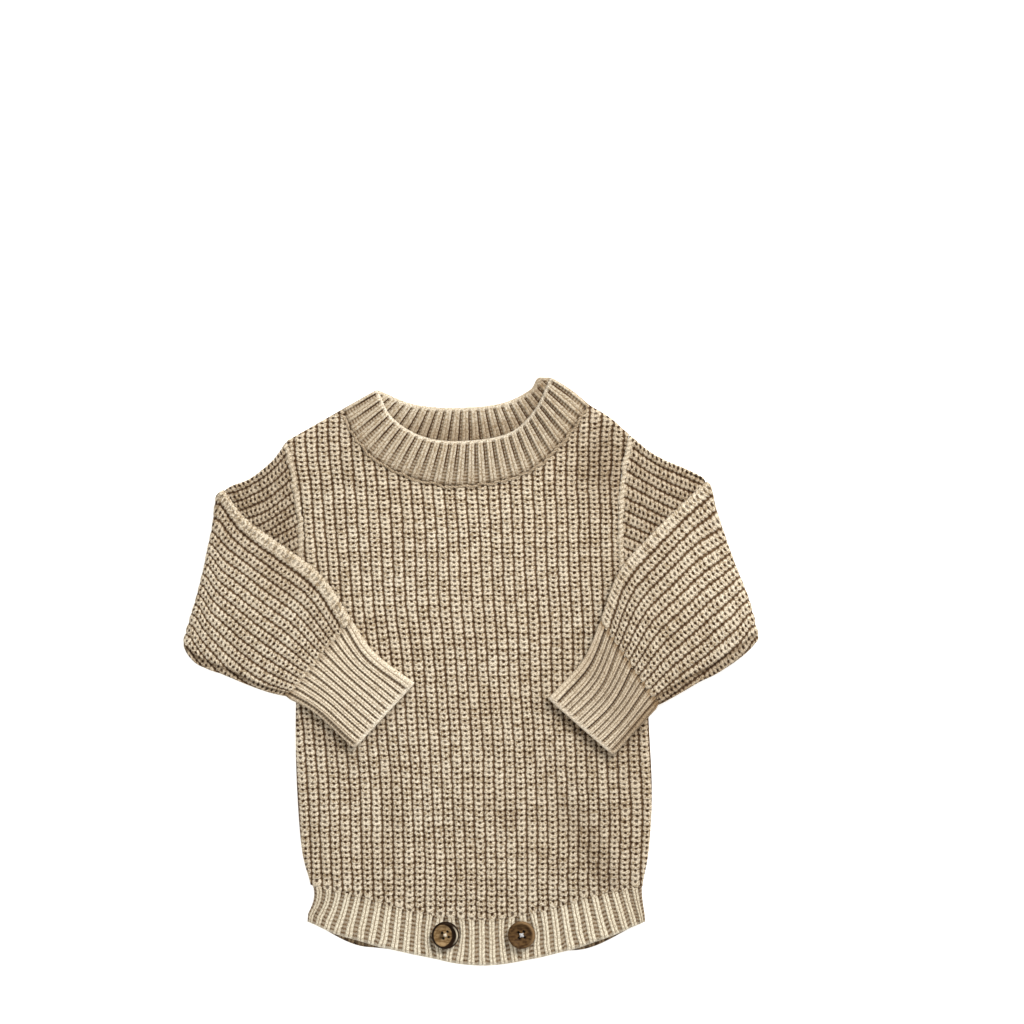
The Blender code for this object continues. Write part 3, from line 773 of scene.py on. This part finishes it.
def pinched(x, u, v):  # the sides draw in below the hem's seam
    depth = np.where(u < 0.5, 3.2, -0.6)
    side = bump(toEnd(u) * bands["hemSize"][0], 0, 22)
    return x + depth * side * np.sin(math.pi * np.clip(0.15 + 1.1 * v, 0, 1))


hemRibs = [float(ribAndRow(*pointAt(hemSeam, end))[0]) for end in (0, 1)]
seamShares = np.linspace(0, 1, 400)
seamRibs = ribAndRow(*pointAt(hemSeam, seamShares).T)[0]


def hemFrontShape(u, v):
    rib = hemRibs[0] + u * (hemRibs[1] - hemRibs[0])  # each body rib runs on into one pair
    u = np.interp(rib, seamRibs, seamShares)
    x, y = bandPlan(u, v, hemSeam, hemEdge, bands["flare"])
    for centreX, centreY in (row["place"] for row in buttons.values()):
        away = np.hypot(x - centreX, y - centreY) + 0.01
        push = bands["buttonPush"] * np.exp(-((away / 13.0) ** 2)) * np.minimum(1, away / 4.0)
        x = x + push * (x - centreX) / away * (1 - v**4)
    x = x + ease(v, 0.5, 1.0) * drift(x, y, 7.0, 5.0) * np.minimum(1, 8 * toEnd(u))
    x = pinched(x, u, v)
    side, fromSeam, fromEdge = margins(u, v, bands["hemSize"])
    row = bands["hemRows"] * v + 0.3 * scatter(np.floor(rib), 1.0)
    over = most(0.96 * rounded(side, 3.0), 0.9 * rounded(fromEdge, 2.4), 0.25 * rounded(fromSeam, 1.6))
    join = ease(v, 0.0, 0.1)
    relief = pairedRelief(rib, row, *bands["hemRib"]) * join + (1 - join) * 0.6
    z = ground(x, y) + (cloth["wall"] + relief) * (1 - over)
    # Painted shade along the seam and near both ends of the band.
    hollow = 0.3 * most(bump(fromSeam, 0, 2.0), bump(side, 0, 12))
    marks = {"hollow": hollow, "bind": ease(v, 0.95, 1.0), "core": 0.2 + 0.8 * bump(v, 0.06, 0.06)}
    return np.column_stack([x, y, z]), rib, row, marks


def hemBackShape(u, v):
    x, y = bandPlan(u, v, hemSeam, backHemEdge)
    rib, row = u * bands["backHemRibs"], bands["hemRows"] * v
    relief = pairedRelief(rib, row, *bands["hemRib"]) - 1.1
    side, _, fromEdge = margins(u, v, bands["backHemSize"])
    edge = np.minimum(side, fromEdge)
    over = rounded(edge, 3.0)
    z = np.maximum(-0.8 * relief * (1 - over) + 2.0 * over, 0)
    # Painted shadow: dark within 3 mm of the edges, the sliver that shows below the front band.
    marks = {"hollow": 1 - ease(edge, 0, 3.0), "bind": 0.0, "core": 0.3}
    return np.column_stack([pinched(x, u, v), y, z]), rib, row, marks


def neckFrontPlan(u, v):
    x, y = bandPlan(u, v, frontNeckSeam, frontNeckEdge)
    bulge = 1.2 * ease(u, 0.93, 1.0) * np.sin(math.pi * v)  # the right end rounds over the shoulder
    return x + 0.58 * bulge, y + 0.81 * bulge


def neckGround(x, y, u, v):  # and what the front neck band's stands on
    ends = np.sqrt(np.clip(np.sin(math.pi * u), 0, 1))
    return ground(x, y) + bands["bulge"] * ends * np.sin(0.75 * math.pi * v)


def neckFrontShape(u, v):
    x, y = neckFrontPlan(u, v)
    rib, row = 0.5 + u * bands["neckRibs"], 13.0 * v
    bind = ease(v, 0.9, 0.97)
    relief = pairedRelief(rib, row, 0.34, 2.0) * (1 - 0.7 * bind)
    relief = relief + bind * (0.4 + 0.35 * np.sin(2 * math.pi * rib * 3))
    tip, fromSeam, fromEdge = margins(u, v, bands["neckSize"])
    over = most(0.9 * rounded(fromEdge, 2.6), 0.45 * rounded(tip, 3.0), 0.35 * rounded(fromSeam, 2.0))
    z = neckGround(x, y, u, v) + (cloth["wall"] + relief) * (1 - over)
    # Painted shade along the seam and near the right end.
    hollow = 0.5 * bump(fromSeam, 0, 3.0) + 0.15 * bump(u, 0.85, 0.1)
    return np.column_stack([x, y, z]), rib, row, {"hollow": hollow, "bind": bind, "core": ease(v, 0.05, 0.6)}


def neckFrontInner(across, rows):  # the plain side that faces the back
    shares = np.meshgrid(np.linspace(0, 1, across + 1), np.linspace(0, 1, rows + 1))
    u, v = (share.ravel() for share in shares)
    x, y = neckFrontPlan(u, v)
    return np.column_stack([x, y, neckGround(x, y, u, v)])


def neckBackShape(u, v):
    x, y = bandPlan(u, v, backNeckSeam, backNeckEdge)
    knuckle = bump(u, 0.945, 0.04) * v  # the right end stands up beside the front band
    x, y = x - 2.4 * knuckle, y + 3.6 * knuckle
    rib, row = u * bands["backNeckRibs"], 12.0 * v
    shows = ease(toEnd(u), 0.02, 0.06) * ease(v, 0.05, 0.3)
    bind = ease(v, 0.88, 0.95)
    relief = pairedRelief(rib, row, 0.3, 1.5) * (1 - bind) + 0.6 * bind
    tip, _, fromEdge = margins(u, v, bands["backNeckSize"])
    over = most(0.9 * rounded(fromEdge, 2.4), 0.6 * rounded(tip, 3.0))
    z = (cloth["wall"] + relief * shows) * (1 - over) + 0.02
    # Painted shade: darker towards the seam and the right end, where the front band shades the back one.
    hollow = 0.55 * (1 - ease(v, 0.35, 0.9)) + 0.5 * ease(u, 0.72, 0.9)
    return np.column_stack([x, y, z]), rib, row, {"hollow": hollow, "bind": bind, "core": 1.0}


hemFront = knitSheet("hem_front", 396, 36, hemFrontShape, under=cloth["frontUnder"])
dress(hemFront, hemKnit, "rib_knit", "hem_band_front")
hemBack = knitSheet("hem_back", bands["backHemRibs"] * 8, 26, hemBackShape, turned=True, under=cloth["wall"])
dress(hemBack, hemKnit, "rib_knit", "hem_band_back")
neckGrid = (bands["neckRibs"] * 12, 40)
neckFront = knitSheet("neck_front", *neckGrid, neckFrontShape, skin=neckFrontInner(*neckGrid))
dress(neckFront, neckKnit, "rib_knit", "neck_band_front")
neckBack = knitSheet("neck_back", bands["backNeckRibs"] * 10, 34, neckBackShape, under=0.0)
dress(neckBack, innerNeckKnit, "rib_knit", "neck_band_back")


# ---- sleeves and cuffs ----
# A section is where its tube's two edges lie, its bow and its puff: top x, top y, low x, low y, bow, puff
sleeves = {
    "left": {
        "side": -1,
        "body": leftSide,
        "upper": [
            (-132.1, 165.6, -122.6, 42.5, 0, 0),
            (-142.8, 151.2, -147.0, 32.0, 4, 0),
            (-159.6, 138.6, -172.0, 20.0, 1, 0),
            (-172.6, 134.2, -190.0, 17.0, 0, 0),
        ],
        "crease": (-182.4, 131.2, -209.8, 9.6, -2.2, 0),
        "forearm": [
            (-160.9, 109.4, -195.6, 2.4, 0, 2.0),
            (-133.6, 89.3, -175.3, -5.4, 0, 2.8),
            (-106.9, 68.8, -153.6, -15.2, 0, 2.8),
            (-85.3, 37.4, -132.1, -19.8, 0, 1.2),
        ],
        "cuff": [
            (-85.3, 37.4, -131.4, -17.8, 0, 1.2),
            (-69.8, 14.4, -109.8, -29.5, 0, 1.0),
            (-40.7, -7.9, -83.2, -54.0, 0, 0.4),
        ],
        "ribs": (12.0, 14.5, 14.0, 12.6, 12.0, 11.8),  # across one layer: armhole, crease, then towards the cuff
        "lean": (-0.4, 0.12, 0.5),  # how far a rib slants beside the crease: at the top, below, and over the fold
        "keep": smoothCurve(
            (-150.6, 144.8), (-160.0, 139.6), (-170.8, 135.3), (-179.0, 130.6), (-184.0, 126.0), (-185.4, 118.0),
            (-186.4, 105.0), (-190.4, 87.1), (-193.4, 72.0), (-198.9, 51.1), (-203.9, 36.7), (-207.6, 24.0),
            (-205.4, 14.6), (-198.4, 5.4), (-189.8, 0.2), (-177.2, -4.2), (-166.2, -8.5), (-154.6, -12.9),
            (-141.5, -17.5), (-130.0, -20.4), (-120.0, -22.2),
        ),
        "pitch": 7.0,  # of the ribs that show on the upper arm
        "strip": 12.5,  # where the lower layer starts to show below the forearm
        "roll": 1.0,  # how full its rolled first rib is
        "shade": 0.0,  # how far its forearm lies in shade
        "dim": 0.0,  # and its cuff
        "uneven": 0.06,  # how much its ribs differ in width
        # line: how dark the painted shadow line between the cuff's ribs is.
        "line": 0.62,  # and how dark it is between the ribs
    },
    "right": {
        "side": 1,
        "body": rightSide,
        "upper": [
            (114.1, 170.6, 110.4, 42.5, 0, 0),
            (132.0, 156.4, 142.0, 34.0, 4, 0),
            (154.0, 146.4, 172.0, 26.0, 1, 0),
            (166.4, 140.8, 190.0, 22.0, 0, 0),
        ],
        "crease": (174.2, 137.4, 209.6, 15.6, 1.6, 0),
        "forearm": [
            (149.4, 118.1, 197.6, 7.6, 0, 2.0),
            (127.1, 95.8, 178.8, -4.4, 0, 2.8),
            (106.2, 71.3, 157.8, -14.6, 0, 2.8),
            (93.2, 36.7, 136.0, -26.0, 0, 1.2),
        ],
        "cuff": [
            (93.2, 36.7, 134.0, -24.4, 0, 1.2),
            (81.0, 8.6, 118.6, -41.0, 0, 1.0),
            (56.5, -18.7, 102.6, -59.0, 0, 0.4),
        ],
        "ribs": (12.0, 12.6, 12.2, 11.8, 11.4, 11.0),
        "lean": (-0.35, 0.0, 0.3),
        "keep": smoothCurve(
            (146.0, 151.4), (159.0, 145.6), (168.2, 140.4), (172.9, 134.6), (175.4, 127.6), (177.4, 117.4),
            (183.8, 98.0), (190.8, 78.6), (196.8, 64.4), (204.2, 48.0), (208.9, 36.0), (209.6, 26.0),
            (203.6, 17.6), (194.6, 9.2), (183.0, 1.0), (174.2, -4.2), (164.8, -8.6), (151.4, -17.0),
            (136.4, -25.8), (124.0, -32.4),
        ),
        "pitch": 8.0,
        "strip": 12.85,
        "roll": 0.5,
        "shade": 0.14,
        "dim": 0.4,
        "uneven": 0.15,
        "line": 1.0,
        "tuck": [(156.0, 143.6), (163.0, 140.2), (171.0, 134.0)],
    },
}
rollWidth, sleeveRow = 7.6, 3.5  # the first rib, rolled over, and a row
leanZones = (6.0, 24.0, 36.0)  # mm from the crease: over the fold, then held, then straight again


def widthOf(section):
    return math.hypot(section[2] - section[0], section[3] - section[1])


# k runs round a tube: 0 to 11 the layer on top of the arm, 12 to 23 the other, with the edges between
def tubeRing(k):
    zones = [k < 11, k < 12, k < 23]
    turn = np.select(zones, [0 * k, (k - 11) * math.pi, 0 * k + math.pi], (k - 22) * math.pi)
    return turn, np.select(zones, [k / 11, 1 + 0 * k, (23 - k) / 11], 0)


def outerRibs(k, width, first, count):  # ribs counted from the top edge, the first one wide and rolled
    bend = cloth["tube"] / 2
    fromEdge = (23 - k) * np.where(k > 23, math.pi * bend, (width - 2 * bend) / 11)
    rib = np.where(
        fromEdge > first,
        1 + (fromEdge - first) * (count - 1) / (width - 2 * bend - first),
        (fromEdge + bend * math.pi / 2) / (first + bend * math.pi / 2),
    )
    return np.where(k > 23.5, 23.5 - k, rib)


# One ring of a flattened tube that has turned this far over its crease
def ringAt(section, k, side, turn, inset=0.0, seam=None):
    top, low, (bow, puff) = np.array(section).reshape(3, 2)
    width = widthOf(section)
    down = (low - top) / width
    outward = np.array([top[1] - low[1], low[0] - top[0]]) / width * side
    bend = cloth["tube"] / 2
    angle, flat = tubeRing(k)
    across = bend + (width - 2 * bend) * flat + bend * np.sin(angle)
    height = bend + bend * np.cos(angle)
    height = height - np.where((k >= 12) & (k <= 23), puff * np.sin(math.pi * flat), 0)
    share = across / width
    plan = top + (low - top) * share[:, None] + outward * (bow * 4 * share * (1 - share) - inset)[:, None]
    if seam:
        plan = seam(share)
    radius = cloth["foldRadius"] + cloth["tube"] - height
    plan = plan + outward * (radius * math.sin(turn))[:, None]
    z = cloth["foldRadius"] + cloth["tube"] - radius * math.cos(turn)
    z = z + lie(*plan.T) * (0.5 - 0.5 * math.cos(turn))
    away = [*(-math.sin(turn) * outward), math.cos(turn)]
    return np.column_stack([plan, z]), np.outer(np.sin(angle), [*down, 0]) + np.outer(np.cos(angle), away)


def evenly(rings, lines):  # the same rings at even steps along each rib
    run = runAlong(rings[:, :, :3])
    made = np.empty((lines + 1, *rings.shape[1:]))
    for column in range(rings.shape[1]):
        wanted = np.linspace(0, run[-1, column], lines + 1)
        for axis in range(rings.shape[2]):
            made[:, column, axis] = np.interp(wanted, run[:, column], rings[:, column, axis])
    return made, run[-1]


def moved(section, other, distance):  # this far towards another
    ends, others = (np.array(each[:4]).reshape(2, 2) for each in (section, other))
    ends = ends + unit(others - ends) * distance
    return (*ends.ravel(), *section[4:])


def sleeveRings(row, k):
    side, edge = row["side"], row["body"]
    underarm = shareOfKnot(edge, underarmKnot)
    topLine = np.array([section[:2] for section in (*row["upper"], row["crease"])])
    inset = cloth["foldRadius"] + cloth["tube"]
    upperRibs = []  # the ribs that show on the upper arm follow its top edge

    def armhole(share):
        return pointAt(edge, 1 - share * (1 - underarm)) + np.array([side * 0.4, 0.0])

    def ring(section, turn, count, **more):
        points, normal = ringAt(section, k, side, turn, **more)
        width = widthOf(section)
        rib = outerRibs(k, width, rollWidth, count)
        if turn == 0:
            fromTop = gapTo(*points.T[:2], topLine)
            upperRibs.append(0.5 + (fromTop - cloth["tube"] / 2) / row["pitch"])
        rib = np.where(k < 11.5, upperRibs[-1], rib)
        outside = np.full(len(k), 0.5 - 0.5 * math.cos(turn))
        return np.column_stack([points, normal, outside, rib, np.full(len(k), count / width)])

    counts = row["ribs"]
    upper = [ring(row["upper"][0], 0, counts[0], seam=armhole)]
    evenCounts = np.linspace(*counts[:2], 5)[1:4]
    upper += [ring(section, 0, count) for section, count in zip(row["upper"][1:], evenCounts)]
    upper.append(ring(row["crease"], 0, counts[1], inset=inset))
    turns = np.linspace(0, math.pi, 15)[1:-1]
    over = [ring(row["crease"], turn, counts[1], inset=inset) for turn in turns]
    lower = [ring(row["crease"], math.pi, counts[1], inset=inset)]
    lower += [ring(section, math.pi, count) for section, count in zip(row["forearm"], counts[2:])]
    return np.concatenate([smoothThrough(np.array(upper), 8), over, smoothThrough(np.array(lower), 8)])


def leaning(rings, k, lean):  # ribs slant over the crease and straighten out along the forearm
    run = runAlong(rings[:, :, :2])
    away = run - [np.interp(0.5, rings[:, column, 6], run[:, column]) for column in range(len(k))]
    fold, held, end = leanZones
    overFold = np.clip(fold - away, 0, fold)
    tail = end - held
    inner = np.clip(held - away, 0, held - fold) + 0.5 * tail * (1 - np.clip((away - held) / tail, 0, 1)) ** 2
    rib = rings[:, :, 7]
    shift = lean[2] * overFold + np.interp(k, (12, 23), (lean[1], lean[0])) * inner
    return np.where(k < 11.5, rib, rib + shift * rings[:, :, 8] * ease(rib, 0.5, 4.6))


def keptInside(points, curve, side):  # softly, so that an outline comes out smooth; also how far it moved
    place, _, way, share = nearest(curve["line"], *points.T[:2])
    inward = side * np.column_stack([way[:, 1], -way[:, 0]])
    depth = ((points[:, :2] - place) * inward).sum(axis=1)
    soft = 2.5
    held = np.where(depth < soft, soft * np.exp(np.minimum(0, depth - soft) / soft), depth)
    amount = (held - depth) * ease(share, 0.0, 0.06) * (1 - ease(share, 0.94, 1.0))
    return np.column_stack([points[:, :2] + inward * amount[:, None], points[:, 2]]), amount


def nearestRing(share, count):
    return np.round(share * count).astype(int)


def makeSleeve(name, row):
    columns, lines = 24 * 10, 224
    k = np.linspace(0, 24, columns + 1)
    rings, lengths = evenly(sleeveRings(row, k), lines)
    rings[:, :, 7] = leaning(rings, k, row["lean"])

    def shape(u, v):
        column, line = nearestRing(u, columns), nearestRing(v, lines)
        found, around = rings[line, column], k[column]
        points, normal, outside, rib = found[:, :3], unit(found[:, 3:6]), found[:, 6], found[:, 7]
        course = (1 - v) * lengths[column] / sleeveRow
        course = course + 0.16 * drift(*points.T[:2], 9.0, 3.0) + rowSlip(rib, sleeveRow * course)
        below = ease(around, 11.0, 11.4) * (1 - ease(around, 23.6, 24.0))  # what the fold brings outside
        relief = fishermanRelief(rib, course)
        rolled = row["roll"] * ease(outside, 0.6, 1.0) * bump(rib, 0.45, 0.6)
        relief = relief * (1 - 0.6 * rolled) + 0.5 * rolled
        flush = relief - (fisherman["depth"] - fisherman["sink"])  # stays inside the plain wall
        tucked = ease(outside, 0.0, 0.3)
        upper = relief * (1 - tucked) + 0.3 * flush * tucked
        shown = np.where(below > 0.5, relief * outside + flush * (1 - outside), upper)
        onForearm = ease(outside, 0.6, 1.0)
        strip = (1 - ease(around, row["strip"] - 0.07, row["strip"] + 0.07)) * (around > 11) * onForearm
        groove = bump(around, row["strip"] + 0.03, 0.1) * onForearm
        roll = row["roll"] * onForearm
        points, squeezed = keptInside(points, row["keep"], row["side"])
        shown = shown * (1 - 0.5 * bump(outside, 0.5, 0.25)) / (1 + squeezed)
        shown = shown - 1.9 * strip - 0.9 * groove
        shown = shown + roll * (1.2 * bump(rib, 0.45, 0.5) - 0.7 * bump(rib, 1.08, 0.16))
        shown = shown - 0.7 * ease(v, 0.985, 1.0)
        forward = unit(rings[line, column, :3] - rings[np.maximum(line - 3, 0), column, :3] + 1e-9)
        reach = (1.6 * (1 - fromMiddle(rib)) - 0.4) * ease(v, 0.975, 1.0)
        points, _ = keptInside(points + normal * shown[:, None], row["keep"], row["side"])
        points = points + forward * reach[:, None]
        points[:, 2] = np.maximum(points[:, 2], 0)
        # Painted shade: the lower layer's strip and its groove, the upper arm beside the forearm, the forearm
        # towards the cuff, and the groove and ribs below the roll.
        hollow = 0.45 * strip + 0.7 * groove + 0.4 * (1 - onForearm) * (around < 11)
        hollow = hollow + row["shade"] * ease(v, 0.6, 0.8)
        hollow = hollow + roll * (0.3 * bump(rib, 1.1, 0.18) + 0.22 * bump(rib, 2.4, 1.3))
        if "tuck" in row:  # a small tuck where the top edge folds over
            tuck = gapTo(*points.T[:2], np.array(row["tuck"]))
            deep = (1 - ease(tuck, 0.3, 1.8)) * (around < 11) * (1 - onForearm)
            points[:, 2] -= 1.2 * deep
            # Painted shade in the tuck.
            hollow = hollow + 0.35 * deep
        return points, rib, course, {"hollow": hollow, "shut": 0.5 * rolled}

    piece = knitSheet(name + "_sleeve", columns, lines, shape, wrapped=True, turned=row["side"] < 0)
    return dress(piece, bodyKnit, "body_knit", "sleeve_" + name)


def makeCuff(name, row):
    columns, lines = 24 * 11, 56
    ribCount, firstRib, inSleeve, turnedIn = 12, 5.0, 2.6, 9.0
    k = np.linspace(0, 24, columns + 1)
    start = moved(row["cuff"][0], row["forearm"][-2], inSleeve)
    rings = []
    for section in (start, *row["cuff"]):
        points, normal = ringAt(section, k, row["side"], math.pi)
        rib = np.where(k < 11.5, 0.5 + k, outerRibs(k, widthOf(section), firstRib, ribCount))
        rings.append(np.column_stack([points, normal, rib]))
    rings, _ = evenly(smoothThrough(np.array(rings), 8), lines)
    end, before = rings[-1], rings[-5]
    forward = unit(end[:, :3] - before[:, :3])
    normal, rib = unit(end[:, 3:6]), end[:, 6:]
    turns = []
    for turn in np.linspace(0, math.pi, 7)[1:]:  # the cloth turns in at the end
        points = end[:, :3] - normal * (1 - math.cos(turn)) + forward * math.sin(turn)
        turns.append(np.hstack([points, normal * math.cos(turn) + forward * math.sin(turn), rib]))
    for depth in np.linspace(0, turnedIn, 7)[1:]:
        turns.append(np.hstack([end[:, :3] - normal * 2.0 - forward * depth, -normal, rib]))
    rings = np.concatenate([rings, turns])
    total = len(rings) - 1

    def shape(u, v):
        column, line = nearestRing(u, columns), nearestRing(v, total)
        found, around = rings[line, column], k[column]
        points, normal, rib, course = found[:, :3], unit(found[:, 3:6]), found[:, 6], 0.5 * line
        uneven = 0.3 * drift(*points.T[:2], 22.0, 2.0 + row["side"])
        uneven = uneven + row["uneven"] * np.sin(2.1 * rib + row["side"])
        rib = rib + uneven * ease(rib, 0.8, 2.4) * (around > 11.5)
        depth = 0.55 + 0.45 * scatter(np.floor(rib), 3.0 + row["side"])
        bind = ease(line, lines - 1.6, lines - 0.6)
        relief = pairedRelief(rib, course, 0.32, 1.8) * (1 - bind) + 0.6 * bind
        relief = np.where(around < 11.5, 0.25 * (relief - 0.7), relief)
        relief = np.where(line > lines, relief * np.clip(1 - (line - lines) / 3, 0, 1), relief)
        relief = relief - 1.2 * (1 - ease(line, 1, 7))
        relief = relief + row["roll"] * 0.7 * bump(rib, 0.45, 0.5) * (line <= lines)
        points = points + normal * relief[:, None]
        points[:, 2] = np.maximum(points[:, 2], 0)
        dim = row["dim"] * (1.1 - 0.75 * ease(line, 20, lines))
        # Painted shade: the turned-in inside, the end under the sleeve and the cuff's side edge are darker, and
        # dim darkens the cuff towards the sleeve.
        hollow = np.where(line > lines + 3, 0.8, dim) + 0.5 * (1 - ease(line, 3, 7))
        hollow = hollow + 0.4 * ((around > 11) & (around < 12.4))
        return points, rib, course, {"hollow": hollow, "bind": bind, "core": row["line"] * depth}

    piece = knitSheet(name + "_cuff", columns, total, shape, wrapped=True, turned=row["side"] < 0)
    return dress(piece, cuffKnit, "rib_knit", "cuff_" + name)


sleevePieces = {name: makeSleeve(name, row) for name, row in sleeves.items()}
cuffPieces = {name: makeCuff(name, row) for name, row in sleeves.items()}
print("sleeves done")


# ---- buttons ----
# From the middle of the dish over the rim and round to the middle below: share of the radius, mm up
buttonProfile = smoothCurve(
    (0.0, 2.1), (0.3, 2.1), (0.56, 2.3), (0.7, 3.2), (0.78, 4.0), (0.87, 4.1), (0.96, 3.4), (1.0, 2.2),
    (0.96, 1.0), (0.8, 0.2), (0.5, 0.0), (0.0, 0.0),
)


def hornMaterial(name, light, dark, **marks):
    material, shader, place = startMaterial(name, 0.5)
    tree = shader.id_data
    stretched = addNode(tree, "Mapping", place, None, None, (1.0, 2.6, 1.0)).outputs[0]
    streak = noise(stretched, 260.0, 3.0)
    colour = mixColour(easeNode(streak, 0.35, 0.65), light, dark)
    # hole: near-black painted shade in the thread holes.
    for mark, shade in (*marks.items(), ("hole", (0.008, 0.005, 0.003))):
        colour = mixColour(markNode(tree, mark), colour, shade)
    fill(shader, {"Base Color": colour, "Normal": bumped(streak, 0.12, 0.3), "Specular IOR Level": 0.06})
    return material


# Dark button: rim is its own dark lacquer and painted shade of the dish's inner wall on the right, which leaves
# the D; shadow is a painted shadow left of the thread; glint is a painted highlight.
def darkMarks(x, y, r):  # a deep dish that shows as a D inside a thick dark rim
    face = 1 - ease(np.hypot(1.06 * (x + 0.17), 0.88 * y), 0.66, 0.72)
    edge = bump(r, 0.84, 0.05) * ease(x, 0.5, 0.66)
    shadow = bump(np.hypot(x + 0.3, 0.6 * (y + 0.08)), 0, 0.15)
    return {"rim": 1 - face * (1 - 0.85 * shadow), "glint": edge * bump(y, 0.05, 0.5)}


# Brown button: rim is a painted highlight, lighter towards the upper right where the key light falls.
def brownMarks(x, y, r):
    return {"rim": 0.75 * bump(r, 0.92, 0.12) * ease(x + 0.6 * y, -0.5, 0.7)}


def makeButton(name, row):
    radius, aside = buttonSize["radius"], buttonSize["spacing"] / 2

    def shape(u, v):
        profile = pointAt(buttonProfile, v)
        angle = 2 * math.pi * u
        r, z = np.maximum(profile[:, 0], 0), profile[:, 1]
        x, y = r * radius * np.cos(angle), r * radius * np.sin(angle)
        corners = [(holeX, holeY) for holeX in (-aside, aside) for holeY in (-aside, aside)]
        hole = np.max([1 - ease(np.hypot(x - holeX, y - holeY), 0.7, 1.2) for holeX, holeY in corners], axis=0)
        hole = hole * (v < 0.4)
        turned = Euler([math.radians(row["tilt"])] * 2 + [math.radians(row["turn"])]).to_matrix()
        points = np.column_stack([x, y, z - 1.6 * hole]) @ np.array(turned).T
        marks = row["marks"](*points.T[:2] / radius, r * (v < 0.55))
        points = points + np.array([*row["place"], buttonSize["base"]])
        return points, u, v, {**marks, "hole": hole, "hollow": 0.0}

    piece = knitSheet(name + "_button", 96, 90, shape, wrapped=True, turned=None)
    return dress(piece, row["horn"], ("dark" if name == "left" else "brown") + "_button", "button_" + name)


def makeThread(name, row):  # two crossed stitches through the four holes
    turn, thick = math.radians(row["turn"]), row["thick"]
    for number, angle in enumerate((turn + math.pi / 4, turn - math.pi / 4)):
        along = np.linspace(-1, 1, 24)
        x, y = (
            middle + row["reach"] * along * way(angle) for middle, way in zip(row["place"], (math.cos, math.sin))
        )
        z = buttonSize["base"] + 1.9 + (0.75 + 0.25 * number) * np.sqrt(np.clip(1 - along**4, 0, 1))
        line = np.column_stack([x, y, z])
        thread = linkedRow(f"thread_{name}_{number + 1}", line, 1.2, thick, thick * 0.7, 0.5, 0.0)
        thread.data.materials.clear()
        thread.data.materials.append(row["thread"])


def threadMaterial(name, colour, shade):
    material, shader, fibres = yarnMaterial(name, 0.7)
    plug(shader.inputs["Base Color"], mixColour(easeNode(fibres["Fibre"], 0.4, 0.7), colour, shade))
    return material


buttons["left"].update(
    marks=darkMarks,
    # Near-black rim: own lacquer and painted shade; glint: a painted highlight.
    horn=hornMaterial(
        "darkHorn", (0.34, 0.225, 0.11), (0.15, 0.085, 0.032), rim=(0.016, 0.0075, 0.003), glint=(0.8, 0.7, 0.52)
    ),
    thread=threadMaterial("warmThread", (0.80, 0.70, 0.54), (0.5, 0.4, 0.27)),
)
buttons["right"].update(
    marks=brownMarks,
    # rim: a lighter brown, the painted highlight.
    horn=hornMaterial("brownHorn", (0.125, 0.068, 0.026), (0.05, 0.024, 0.009), rim=(0.26, 0.16, 0.075)),
    thread=threadMaterial("greyThread", (0.60, 0.60, 0.61), (0.36, 0.35, 0.34)),
)
for make in (makeButton, makeThread):
    for name, row in buttons.items():
        make(name, row)
print("buttons done")


# ---- camera, light and floor ----
stage = {
    "look": (0.0299, 0.1145),  # the camera stands straight above this
    "height": 2.0,
    "lens": 97.66,
    "floor": (0.92, 0.92, 0.91),
    "below": -0.0004,  # the floor lies just under the cloth
    "glow": 0.6,  # a lit sweep, so that hardly a shadow shows on it
    "lights": {
        "keyLight": {"place": (0.75, 1.05, 1.15), "size": 0.7, "power": 32.0, "colour": (1.0, 0.985, 0.96)},
        "fillLight": {"place": (-1.1, -0.6, 1.4), "size": 1.6, "power": 7.5, "colour": (0.96, 0.98, 1.0)},
    },
}


def setStage():
    scene = bpy.context.scene
    camera = bpy.data.cameras.new("camera")
    camera.lens, camera.clip_end = stage["lens"], 20
    scene.camera = put("camera", camera)
    scene.camera.location = (*stage["look"], stage["height"])
    mesh = bmesh.new()
    bmesh.ops.create_grid(mesh, x_segments=1, y_segments=1, size=4.0)
    bmesh.ops.translate(mesh, verts=mesh.verts, vec=(0, 0, stage["below"]))
    data = bpy.data.meshes.new("floor")
    mesh.to_mesh(data)
    mesh.free()
    paper, shader, _ = startMaterial("paleFloor", 0.9)
    fill(shader, {
        "Base Color": (*stage["floor"], 1), "Emission Color": (1, 1, 0.99, 1), "Emission Strength": stage["glow"]
    })
    data.materials.append(paper)
    floor = put("floor", data)
    for name, row in stage["lights"].items():
        light = bpy.data.lights.new(name, "AREA")
        light.energy, light.size, light.color = row["power"], row["size"], row["colour"]
        lamp = put(name, light)
        lamp.location = row["place"]
        lamp.rotation_mode = "QUATERNION"
        lamp.rotation_quaternion = (-lamp.location).to_track_quat("-Z", "Y")
    world = bpy.data.worlds.new("studio")
    world.use_nodes = True
    fill(world.node_tree.nodes["Background"], {"Color": (1.0, 0.995, 0.985, 1), "Strength": 0.5})
    scene.world = world
    scene.view_settings.view_transform = "Standard"


setStage()
